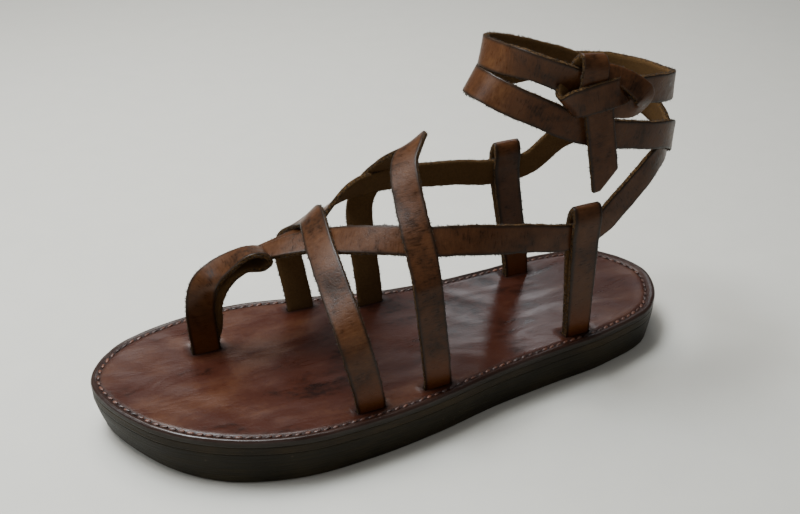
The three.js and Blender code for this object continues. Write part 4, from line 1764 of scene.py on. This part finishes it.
@dataclass
class Strap:
    """One flat strap, cut from grain leather, as its own piece; sizes and zones in millimetres."""

    name: str
    pins: Pins
    sizes: Sizes
    seed: int
    slots: tuple[bool, bool] = (False, False)
    slant: float = 0.0
    step: float = 1.0
    ragged: float = 0.19
    soften: int = 0
    profile: tuple[int, int] = (12, 6)
    corner: float = 0.6
    corner_base: float = 0.42
    corner_rise: float = 0.5
    flesh_inset: float = 0.35
    crown: float = 0.08
    swell: float = 0.07
    swell_period: float = 9.0
    swell_phase: float = 2.1
    slant_reach: float = 14.0
    full_bend_radius: float = 9.0
    bend_rings: int = 4
    # Run over which the painted warm light near a slot fades out.
    slot_zone: tuple[float, float] = (7.0, 26.0)
    kink_zone: tuple[float, float, float, float] = (2.0, 10.0, 44.0, 60.0)
    width_limits: tuple[float, float] = (0.3, 1.3)
    CORNER_TURNS: ClassVar[tuple[float, ...]] = (15.0, 45.0, 75.0)
    EDGE_HEIGHTS: ClassVar[tuple[float, ...]] = (0.1, -0.3, -0.65)
    EDGE_NOISES: ClassVar[tuple[tuple[int, float, float], ...]] = ((0, 3.7, 0.6), (10, 1.3, 0.5))
    SWELL_SEED: ClassVar[int] = 20

    def section(self) -> Section:
        """Rounded outline of the strap's cut.

        Returns:
            The points once round, across the grain side and back along the underside.
        """
        top, bottom = self.profile
        edge = []
        for turn in np.radians(self.CORNER_TURNS):
            back, rise = self.corner * (1.0 - math.sin(turn)), math.cos(turn)
            edge.append((back, self.corner_base + self.corner_rise * rise, rise))
        edge += [(0.0, height, 0.0) for height in self.EDGE_HEIGHTS]
        rows = []
        for share in np.linspace(1.0, -1.0, top + 1):
            rows.append((share, self.corner, 1.0 - self.crown * share * share, 1.0, 0.0))
        rows += [(-1.0, *point, 0.0) for point in edge]
        rows += [(share, self.flesh_inset, -1.0, 0.0, 1.0) for share in np.linspace(-1.0, 1.0, bottom + 1)]
        rows += [(1.0, *point, 0.0) for point in reversed(edge)]
        return Section(*np.array(rows).T)

    def path(self) -> tuple[np.ndarray, ...]:
        """Middle line, directions, faces, half widths and distances of the strap's rings.

        Returns:
            One array of each, with a row for each ring.
        """
        curve = SmoothCurve(self.pins.at)
        place, run = curve.even(self.step)
        centre, tangent = curve.at(place)
        columns = Table("x y z width", np.column_stack([self.pins.face, self.pins.width])).read(place)
        face = np.column_stack([columns["x"], columns["y"], columns["z"]])
        if self.soften:
            centre, face = self.softened(centre, run), self.softened(face, run)
            tangent = unit(np.gradient(centre, run, axis=0))
        face = unit(face - tangent * np.sum(face * tangent, axis=1, keepdims=True))
        half = np.clip(columns["width"], *self.width_limits) * self.sizes.strap_width / 2
        return centre, tangent, face, half, run

    def softened(self, rows: np.ndarray, run: np.ndarray) -> np.ndarray:
        """Evens out the kink between a slot and the run over the foot.

        Args:
            rows: A point or direction at each ring.
            run: Distance of each ring.

        Returns:
            The evened rows.
        """
        weights = np.hanning(2 * self.soften + 3)[1:-1]
        padded = np.pad(rows, ((self.soften, self.soften), (0, 0)), mode="edge")
        even = [np.convolve(column, weights / weights.sum(), mode="valid") for column in padded.T]
        end = np.minimum(run, run[-1] - run)
        begin, full, fade, done = self.kink_zone
        free = smooth_step(begin, full, end) * (1.0 - smooth_step(fade, done, end))
        return rows + (np.column_stack(even) - rows) * free[:, None]

    def widths(self, cut: Section, half: np.ndarray, run: np.ndarray) -> np.ndarray:
        """Distances from the middle line, with rounded corners and ragged edges.

        Args:
            cut: The strap's section.
            half: Half width at each ring.
            run: Distance of each ring.

        Returns:
            A row for each ring, with a number for each point of the section.
        """
        noises = self.EDGE_NOISES
        outer, inner = (
            sum(share * Wobble(self.seed + shift + k, period).at(run) for shift, period, share in noises)
            for k in (0, 1)
        )
        rough = np.where(cut.across[None, :] > 0, outer[:, None], inner[:, None]) * self.ragged
        outward = np.sign(cut.across) * np.isclose(np.abs(cut.across), 1.0)
        return cut.across[None, :] * half[:, None] - (outward * cut.inset)[None, :] + outward[None, :] * rough

    def heights(self, cut: Section, run: np.ndarray) -> np.ndarray:
        """Heights over the middle line, with a slow swell of the grain side.

        Args:
            cut: The strap's section.
            run: Distance of each ring.

        Returns:
            A row for each ring, with a number for each point of the section.
        """
        noise = Wobble(self.seed + self.SWELL_SEED, self.swell_period).at(run)
        swell = noise[:, None] * np.cos(cut.across[None, :] * self.swell_phase)
        return cut.height[None, :] * self.sizes.strap_thickness / 2 + cut.grain[None, :] * self.swell * swell

    def bends(self, tangent: np.ndarray, face: np.ndarray, run: np.ndarray) -> np.ndarray:
        """How much the grain side is bent outwards, 0 to 1 at each ring.

        Args:
            tangent: Direction at each ring.
            face: Direction of the grain side at each ring.
            run: Distance of each ring.

        Returns:
            A number for each ring, 1 where the bend's radius is the full bend's or less.
        """
        turn = np.gradient(tangent, run, axis=0)
        bend = np.clip(-np.sum(turn * face, axis=1) * self.full_bend_radius, 0.0, 1.0)
        count = 2 * self.bend_rings + 1
        return np.convolve(np.pad(bend, self.bend_rings, mode="edge"), np.ones(count) / count, mode="valid")

    def near_slots(self, run: np.ndarray) -> np.ndarray:
        """How near each ring is to a slot.

        Args:
            run: Distance of each ring.

        Returns:
            A number for each ring, 1 in the slot to 0 well away from it.
        """
        near = np.zeros(len(run))
        for slotted, distance in zip(self.slots, (run, run[-1] - run)):
            if slotted:
                near = np.maximum(near, 1.0 - smooth_step(*self.slot_zone, distance))
        return near

    def build(self, material: bpy.types.Material) -> bpy.types.Object:
        """Makes and dresses the strap.

        Args:
            material: The straps' material.

        Returns:
            The piece.
        """
        centre, tangent, face, half, run = self.path()
        side = np.cross(tangent, face)
        cut = self.section()
        rings, around = len(run), len(cut.across)
        width = self.widths(cut, half, run)
        skew = self.slant * smooth_step(run[-1] - self.slant_reach, run[-1], run)
        points = (
            centre[:, None, :]
            + side[:, None, :] * width[..., None]
            + face[:, None, :] * self.heights(cut, run)[..., None]
            + tangent[:, None, :] * (np.minimum(width, 0.5 * half[:, None]) * skew[:, None])[..., None]
        )
        marks = {
            "run": run[:, None] * MM,
            "across": width * MM,
            "grain": cut.grain[None, :],
            "under": cut.under[None, :],
            "bend": self.bends(tangent, face, run)[:, None],
            # The slot mark only drives the painted warm light near the slots.
            "slot": self.near_slots(run)[:, None],
            "raw": ((1.0 - cut.grain) * (1.0 - cut.under))[None, :],
        }
        grid = np.ones((rings, around))
        faces = ring_faces(rings, around)
        faces.append(tuple(range(around)))
        faces.append(tuple(reversed(range((rings - 1) * around, rings * around))))
        attributes = {name: (grid * numbers).ravel() for name, numbers in marks.items()}
        piece = make_object(self.name, points.reshape(-1, 3), faces, attributes)
        piece.data.materials.append(material)
        carry_over(piece, "upper", Slot.STRAP)
        return piece


RUN = "station turn lift"
KNOT = "back up out face_back face_up face_out width"


@dataclass
class OverStrap:
    """A strap from a slot on the outer side over the foot to a slot on the inner side."""

    name: str
    outer: float
    inner: float
    table: Table
    seed: int
    soften: int = 16

    def strap(self, where: Placement) -> Strap:
        """The strap's path."""
        pins = Pins.joined(
            where.slot(self.outer, Side.OUTER),
            where.run(self.table),
            where.slot(self.inner, Side.INNER).turned_back(),
        )
        return Strap(self.name, pins, where.sizes, self.seed, slots=(True, True), soften=self.soften)

    def openings(self, where: Placement) -> list[Opening]:
        """Its two slots."""
        return [where.opening(self.outer, Side.OUTER), where.opening(self.inner, Side.INNER)]


VAMP_STRAP = OverStrap(
    "vamp_strap",
    0.621,
    0.632,
    Table(
        RUN,
        [
            [0.254, 14, 0.5],
            [0.253, 30, 0.15],
            [0.253, 45, 0.1],
            [0.256, 60, 0.6],
            [0.262, 76, 1.0],
            [0.27, 91, 1.1],
            [0.274, 105, 0.6],
            [0.269, 120, -0.3],
            [0.261, 137, -0.4],
            [0.254, 153, 0.2],
            [0.25, 166, 0.5],
        ],
    ),
    100,
)
INSTEP_STRAP = OverStrap(
    "instep_strap",
    0.503,
    0.512,
    Table(
        RUN,
        [
            [0.372, 13, 1.0],
            [0.378, 27, 0.95],
            [0.385, 41, 0.95],
            [0.394, 55, 0.6],
            [0.405, 67, 0.7],
            [0.42, 79, 0.5],
            [0.443, 92, -0.4],
            [0.459, 106, -1.2],
            [0.449, 120, -1.1],
            [0.423, 135, -0.2],
            [0.397, 148, 0.8],
            [0.379, 158, 0.95],
            [0.37, 169, 1.0],
        ],
    ),
    140,
)


@dataclass
class SideLoop:
    """An inverted U out of one slot, round the tie strap."""

    name: str
    side: Side
    seed: int
    along: float = 0.226
    crown_station: float = 0.612
    inner_leg_lift: float = 0.5
    outer_leg_lift: float = 2.45
    headroom: float = 0.38
    bend_from: float = 0.8
    back_lean: float = 2.2
    crown_width: float = 1.1

    def strap(self, where: Placement) -> Strap:
        """The loop's path.

        Args:
            where: Where straps can be pinned.

        Returns:
            The strap.
        """
        sizes = where.sizes
        thickness = sizes.strap_thickness
        out = np.array([0.0, self.side.value, 0.0])
        turn = 0.0 if self.side is Side.OUTER else 180.0
        crown = where.last.point(np.array(self.crown_station), np.array(turn))
        crown[0] -= self.back_lean
        inner = crown + out * self.inner_leg_lift * thickness
        outer = crown + out * self.outer_leg_lift * thickness
        reach = (self.headroom + 0.5) * sizes.strap_width
        apex = (inner + outer) / 2 + UP * (reach + thickness)
        high = UP * self.bend_from * reach
        down = where.slot(self.along, self.side, -0.5).turned_back()
        middle = Pins.of([outer, outer + high, apex, inner + high, inner], [out, out, UP, -out, -out])
        middle.width *= self.crown_width
        back = Pins(down.at, np.tile(-out, (2, 1)), down.width)
        pins = Pins.joined(where.slot(self.along, self.side, 0.5), middle, back)
        return Strap(self.name, pins, sizes, self.seed, slots=(True, True))

    def openings(self, where: Placement) -> list[Opening]:
        """Its slot, wide enough for both legs."""
        return [where.opening(self.along, self.side, layers=2)]


TOE_LOOP = Table(
    "along across rise face_x face_y face_z",
    [
        [0.815, -0.225, 0.1, 0, 1, 0],
        [0.815, -0.222, 0.19, 0.1, 1, 0.1],
        [0.806, -0.217, 0.264, 0.35, 0.75, 0.55],
        [0.787, -0.21, 0.312, 0.4, 0.35, 0.85],
        [0.762, -0.198, 0.348, 0.4, 0.05, 0.9],
        [0.736, -0.188, 0.374, 0.2, -0.2, 0.95],
        [0.716, -0.183, 0.372, -0.4, -0.2, 0.9],
        [0.704, -0.184, 0.35, -1, 0, 0],
        [0.714, -0.188, 0.328, -0.3, 0, -1],
        [0.74, -0.2, 0.33, 0, -0.1, -1],
        [0.768, -0.215, 0.302, -0.25, -0.4, -0.85],
        [0.79, -0.232, 0.245, -0.3, -0.8, -0.4],
        [0.8, -0.245, 0.17, 0, -1, 0],
        [0.803, -0.248, 0.09, 0, -1, 0],
    ],
)


@dataclass
class ToeStrap:
    """A loop that rises edge-on between the toes and goes over the tie strap and back."""

    sizes: Sizes
    outline: Outline
    table: Table = TOE_LOOP
    along: float = 0.813
    outer_across: float = -0.225
    inner_across: float = -0.248
    seed: int = 180
    step: float = 0.8

    def slot(self, across: float, facing: float) -> Pins:
        """Two pins up out of the toe slot, the lower one first.

        Args:
            across: Share of the ball's width from the middle.
            facing: Sign of Y that the pins look to.

        Returns:
            The pins.
        """
        sizes = self.sizes
        rise = float(self.outline.toe_rise(self.along))
        low = sizes.rim_height - sizes.footbed - sizes.dish + 2 * sizes.clearance + rise
        x, y = float(self.outline.to_x(self.along)), across * sizes.ball_width
        return Pins.of([[x, y, low], [x, y, sizes.rim_height + rise]], [[0, facing, 0]] * 2)

    def strap(self) -> Strap:
        """The toe strap's path.

        Returns:
            The strap.
        """
        rows = self.table.whole()
        at = np.column_stack(
            [
                self.outline.to_x(rows["along"]),
                rows["across"] * self.sizes.ball_width,
                self.sizes.rim_height + rows["rise"] * self.sizes.ankle_height,
            ]
        )
        face = unit(np.column_stack([rows["face_x"], rows["face_y"], rows["face_z"]]))
        loop = Pins(at, face, np.ones(len(at)))
        up = self.slot(self.outer_across, 1.0)
        down = self.slot(self.inner_across, -1.0).turned_back()
        pins = Pins.joined(up, loop, down)
        return Strap("toe_strap", pins, self.sizes, self.seed, slots=(True, True), step=self.step)

    def openings(self) -> list[Opening]:
        """Its slot, wide enough for both legs.

        Returns:
            The one slot.
        """
        sizes = self.sizes
        x = float(self.outline.to_x(self.along))
        y = (self.outer_across + self.inner_across) / 2 * sizes.ball_width
        half = abs(self.outer_across - self.inner_across) / 2 * sizes.ball_width + sizes.strap_thickness / 2
        return [Opening((x, y), sizes.strap_width / 2 + sizes.clearance, half + sizes.clearance)]


OUTER_TIE = Table(
    "station turn lift width tilt",
    [
        [0.2, 97, 1.2, 0.7, 0],
        [0.222, 92, 0.9, 0.9, 0],
        [0.253, 85, 0.1, 1, 0],
        [0.28, 73, 0.0, 1, 0],
        [0.315, 58, 0.0, 1, 0],
        [0.347, 47, 0.0, 1, 0],
        [0.393, 34, 0.0, 1, 0],
        [0.44, 24, 0.2, 1, 0],
        [0.497, 13, 0.5, 1, 0],
        [0.555, 5, 0.9, 1, 0],
        [0.595, 1, 1.0, 1, 0],
        [0.63, -0.5, 1.0, 1, 0],
        [0.665, -2, 0.9, 1, 0],
        [0.704, -5, 0.7, 1, 2],
        [0.75, -13, 0.6, 1, 8],
        [0.785, -23, 0.8, 1, 14],
        [0.825, -37, 0.7, 1, 16],
        [0.862, -59, 0.1, 1, 5],
        [0.885, -90, 0.0, 1, 0],
        [0.9, -122, 0.0, 1, 0],
        [0.91, -155, 0.0, 1, 0],
        [0.915, -185, 0.0, 1, 0],
        [0.92, -215, 0.0, 1, 0],
        [0.925, -240, 0.0, 1, 0],
        [0.937, -262, 0.0, 1, 0],
        [0.958, -278, 0.0, 1, 0],
        [0.978, -292, 0.0, 1, 0],
        [0.983, -304, 0.0, 1, 0],
        [0.973, -318, 0.1, 1, 0],
        [0.958, -331, 0.2, 1, 0],
        [0.94, -343, 0.3, 1, 0],
    ],
)
INNER_TIE = Table(
    "station turn lift width",
    [
        [0.2, 101, 1.1, 0.7],
        [0.222, 104, -0.2, 0.9],
        [0.253, 109, -1.4, 1],
        [0.28, 116, -1.6, 1],
        [0.315, 125, -1.3, 1],
        [0.347, 134, -0.8, 1],
        [0.393, 146, -0.3, 1],
        [0.44, 156, 0.1, 1],
        [0.497, 167, 0.5, 1],
        [0.555, 175, 0.9, 1],
        [0.6, 180, 1.0, 1],
        [0.65, 184, 0.9, 1],
        [0.705, 189, 0.5, 1],
        [0.75, 196, 0.1, 1],
        [0.785, 209, 0.0, 1],
        [0.81, 228, 0.0, 1],
        [0.832, 252, 0.1, 1],
        [0.848, 275, 0.5, 1],
        [0.862, 298, 0.95, 1],
        [0.87, 318, 0.95, 1],
        [0.863, 335, 0.5, 1],
        [0.852, 350, 0.1, 1],
        [0.82, 375, 0.0, 1],
        [0.805, 389, 0.0, 1],
        [0.796, 403, 0.0, 1],
        [0.78, 418, 0.0, 1],
        [0.763, 436, 0.0, 1],
        [0.752, 462, 0.0, 1],
        [0.785, 490, 0.0, 1],
        [0.84, 518, 0.3, 1],
        [0.89, 545, 0.95, 1],
        [0.92, 575, 0.8, 1],
        [0.932, 605, 0.3, 1],
        [0.94, 635, 0.0, 1],
        [0.947, 665, 0.0, 1],
        [0.951, 693, 0.1, 1],
        [0.948, 710, 0.2, 1],
        [0.935, 726, 0.4, 1],
    ],
)
TIE_HALVES = (("tie_strap_outer", OUTER_TIE, 300), ("tie_strap_inner", INNER_TIE, 330))
KNOT_FOLDS = {
    "knot_fold": Table(
        KNOT,
        [
            [0.0, 0.35, 0.42, 0, 0, 1, 0.88],
            [0.0, 0.9, 0.47, 0.04, 0.1, 1, 0.88],
            [-0.02, 1.3, 0.44, 0.1, 0.5, 0.85, 0.88],
            [-0.07, 1.5, 0.27, 0.15, 1, 0, 0.88],
            [-0.18, 1.26, 0.1, 0, 0.3, -1, 0.88],
            [-0.32, 0.84, 0.04, 0, 0, -1, 0.88],
            [-0.47, 0.45, 0.04, 0, 0, -1, 0.88],
        ],
    ),
    "knot_band": Table(
        KNOT,
        [
            [-0.5, 0.55, 0.06, 0.3, 0, -1, 0.9],
            [-0.68, 0.22, 0.1, -0.4, -0.4, -0.9, 0.95],
            [-0.83, -0.02, 0.31, -0.74, -0.67, 0, 1],
            [-0.52, 0.03, 0.52, -0.3, -0.2, 1, 1],
            [0.15, 0.22, 0.61, 0, 0, 1, 1],
            [0.76, 0.32, 0.54, 0.3, 0.15, 1, 0.95],
            [1.06, 0.24, 0.31, 0.84, 0.55, 0, 0.8],
            [0.8, -0.02, 0.12, 0.4, 0.2, -0.9, 0.85],
            [0.55, -0.3, 0.08, 0, 0, -1, 0.85],
        ],
    ),
    "knot_bight": Table(
        KNOT,
        [
            [0.23, 0.95, 0.2, 0, 0.5, 0.85, 0.62],
            [0.84, 0.8, 0.3, 0.1, 0.5, 0.85, 0.6],
            [1.42, 0.48, 0.38, 0.25, 0.3, 0.9, 0.68],
            [1.84, 0.06, 0.4, 0.4, 0, 0.9, 0.8],
            [1.7, -0.32, 0.34, 0.45, -0.3, 0.85, 0.85],
            [1.2, -0.36, 0.24, 0.1, -0.2, 1, 0.8],
            [0.62, -0.22, 0.16, 0, 0, 1, 0.8],
        ],
    ),
}


@dataclass
class Knot:
    """The knot on the outer side of the ankle, and the free end that hangs from it."""

    where: Placement
    station: float = 0.91
    turn: float = 18.0
    end_station: float = 0.9
    end_turn: float = 13.2
    end_out: float = 0.42
    end_lean: float = 0.21
    end_slant: float = 0.85
    end_twist: float = 0.12
    end_seed: int = 260
    fold_seed: int = 200
    fold_seed_step: int = 20
    fold_step: float = 0.7
    fold_ragged: float = 0.12

    def axes(self) -> tuple[np.ndarray, np.ndarray, np.ndarray, np.ndarray]:
        """The knot's origin and its back, up and out directions.

        Returns:
            The four vectors.
        """
        station, turn = np.array(self.station), np.array(self.turn)
        origin, out = self.where.last.point(station, turn), self.where.last.normal(station, turn)
        up = unit(UP - out * out[2])
        return origin, unit(np.cross(up, out)), up, out

    def pins(self, table: Table) -> Pins:
        """Pins from a table in the knot's own directions.

        Args:
            table: Places in strap widths, faces and shares of width.

        Returns:
            The pins.
        """
        origin, back, up, out = self.axes()
        basis = np.vstack([back, up, out])
        row = table.whole()
        offset = np.column_stack([row["back"], row["up"], row["out"]]) @ basis
        face = np.column_stack([row["face_back"], row["face_up"], row["face_out"]]) @ basis
        return Pins(origin + offset * self.where.sizes.strap_width, unit(face), row["width"])

    def hanging_end(self) -> Strap:
        """The tie strap's free end, cut off at a slant.

        Returns:
            The strap.
        """
        _, back, _, out = self.axes()
        sizes = self.where.sizes
        top = self.where.last.point(np.array(self.end_station), np.array(self.end_turn))
        top = top + out * self.end_out * sizes.strap_width
        down = unit(-UP + back * self.end_lean)
        face = out + back * self.end_twist
        face = unit(face - down * np.dot(face, down))
        at = [top + down * share * sizes.hanging_end for share in (0.0, 0.5, 1.0)]
        return Strap("hanging_end", Pins.of(at, [face] * 3), sizes, self.end_seed, slant=self.end_slant)

    def straps(self) -> list[Strap]:
        """Every strap of the knot.

        Returns:
            The folds and the hanging end.
        """
        straps = []
        for i, (name, table) in enumerate(KNOT_FOLDS.items()):
            seed = self.fold_seed + self.fold_seed_step * i
            pins = self.pins(table)
            straps.append(
                Strap(name, pins, self.where.sizes, seed, step=self.fold_step, ragged=self.fold_ragged)
            )
        return [*straps, self.hanging_end()]


@dataclass
class Upper:
    """All the straps."""

    where: Placement

    def __post_init__(self) -> None:
        """Lists the straps' makers."""
        self.over = [VAMP_STRAP, INSTEP_STRAP]
        self.loops = [
            SideLoop("side_loop_outer", Side.OUTER, 160),
            SideLoop("side_loop_inner", Side.INNER, 170),
        ]
        self.toe = ToeStrap(self.where.sizes, self.where.outline)

    def openings(self) -> list[Opening]:
        """Every slot that the footbed needs."""
        cuts = [cut for maker in (*self.over, *self.loops) for cut in maker.openings(self.where)]
        return [*cuts, *self.toe.openings()]

    def build(self, finish: StrapLeather) -> list[bpy.types.Object]:
        """Makes and dresses every strap.

        Args:
            finish: The straps' leather.

        Returns:
            The pieces.
        """
        material = finish.build()
        where = self.where
        straps = [self.toe.strap()]
        straps += [maker.strap(where) for maker in (*self.over, *self.loops)]
        straps += [Strap(name, where.run(table), where.sizes, seed) for name, table, seed in TIE_HALVES]
        straps += Knot(where).straps()
        return [strap.build(material) for strap in straps]


# Studio


@dataclass(frozen=True)
class Lamp:
    """A soft rectangular light that looks at the sandal; metres and watts."""

    name: str
    at: tuple[float, float, float]
    size: tuple[float, float]
    power: float
    colour: tuple[float, float, float]
    target: tuple[float, float, float] = (0.0, 0.0, 0.04)

    def build(self) -> None:
        """Adds the light."""
        data = bpy.data.lights.new(self.name, "AREA")
        data.shape = "RECTANGLE"
        data.size, data.size_y = self.size
        data.energy = self.power
        data.color = self.colour
        lamp = bpy.data.objects.new(self.name, data)
        lamp.location = self.at
        lamp.rotation_euler = (Vector(self.at) - Vector(self.target)).to_track_quat("Z", "Y").to_euler()
        bpy.context.scene.collection.objects.link(lamp)


LAMPS = (
    Lamp("key", (0.18, -0.32, 0.9), (0.8, 0.6), 12.5, (1.0, 0.985, 0.96)),
    Lamp("top", (0.22, -0.18, 0.88), (0.3, 0.3), 7.5, (0.82, 0.92, 1.0)),
    Lamp("front", (0.55, 0.9, 0.4), (0.9, 0.7), 1.5, (1.0, 0.94, 0.86)),
    Lamp("side", (0.8, -0.2, 0.5), (0.35, 0.35), 2.0, (0.85, 0.93, 1.0)),
    Lamp("back", (-0.45, -0.62, 0.52), (0.16, 0.16), 0.5, (0.88, 0.95, 1.0)),
)


@dataclass
class Studio:
    """Camera at the photo's view, pale floor and soft light; metres, radians, and millimetres of lens."""

    focal_length: float = 42.872
    sensor_width: float = 36.0
    clip_start: float = 0.01
    azimuth: float = 2.7099372
    elevation: float = 0.5610095
    roll: float = 0.0121023
    camera_at: tuple[float, float, float] = (0.155221, 0.334135, 0.297444)
    world_colour: Colour = rgb(0.93, 0.96, 1.0)
    world_strength: float = 0.22
    floor_half: float = 15.0

    def camera(self) -> None:
        """Places the camera."""
        a, e, r = self.azimuth, self.elevation, self.roll
        back = Vector((math.sin(a) * math.cos(e), -math.cos(a) * math.cos(e), math.sin(e)))
        right = Vector((math.cos(a), math.sin(a), 0.0))
        up = back.cross(right)
        x = right * math.cos(r) + up * math.sin(r)
        y = up * math.cos(r) - right * math.sin(r)
        data = bpy.data.cameras.new("photo_camera")
        data.lens = self.focal_length
        data.sensor_width = self.sensor_width
        data.clip_start = self.clip_start
        rig = bpy.data.objects.new("photo_camera", data)
        axes = Matrix((x, y, back)).transposed().to_4x4()
        rig.matrix_world = Matrix.Translation(self.camera_at) @ axes
        bpy.context.scene.collection.objects.link(rig)
        bpy.context.scene.camera = rig

    def world(self) -> None:
        """Even dim light from all round."""
        world = bpy.data.worlds.new("soft_room")
        world.use_nodes = True
        g = Graph(world.node_tree)
        inputs = {"Color": self.world_colour, "Strength": self.world_strength}
        glow = g.add("ShaderNodeBackground", {}, inputs)
        g.add("ShaderNodeOutputWorld", {}, {"Surface": g.out(glow)})
        bpy.context.scene.world = world

    def floor(self) -> None:
        """Lays the pale floor."""
        half = self.floor_half
        corners = [(-half, -half, 0.0), (half, -half, 0.0), (half, half, 0.0), (-half, half, 0.0)]
        floor = make_object("floor", np.array(corners) / MM, [(0, 1, 2, 3)])
        floor.data.materials.append(PALE_FLOOR.build())

    def build(self) -> None:
        """Sets everything up."""
        self.camera()
        self.world()
        for lamp in LAMPS:
            lamp.build()
        self.floor()


def report(piece: bpy.types.Object) -> None:
    """Logs a finished piece with its count of faces."""
    LOG.info("%s: %d faces", piece.name, len(piece.data.polygons))


def main() -> None:
    """Builds the sandal's looks and the studio."""
    logging.basicConfig(level=logging.INFO, format="%(name)s: %(message)s")
    outline = Outline(SIZES)
    upper = Upper(Placement(SIZES, outline, Last(SIZES)))
    report(Outsole(outline, SIZES).build(OUTSOLE_EDGE))
    report(Midsole(outline, SIZES).build(MIDSOLE_EDGE))
    bed = Footbed(outline, SIZES, upper.openings())
    report(bed.build(FootbedLeather()))
    report(StitchRow(bed.stitch_path()).build(StitchThread()))
    straps = upper.build(StrapLeather())
    for strap in straps:
        report(strap)
    report(EdgeFibres().build(straps, FIBRE))
    Studio().build()


if __name__ == "__main__":
    main()
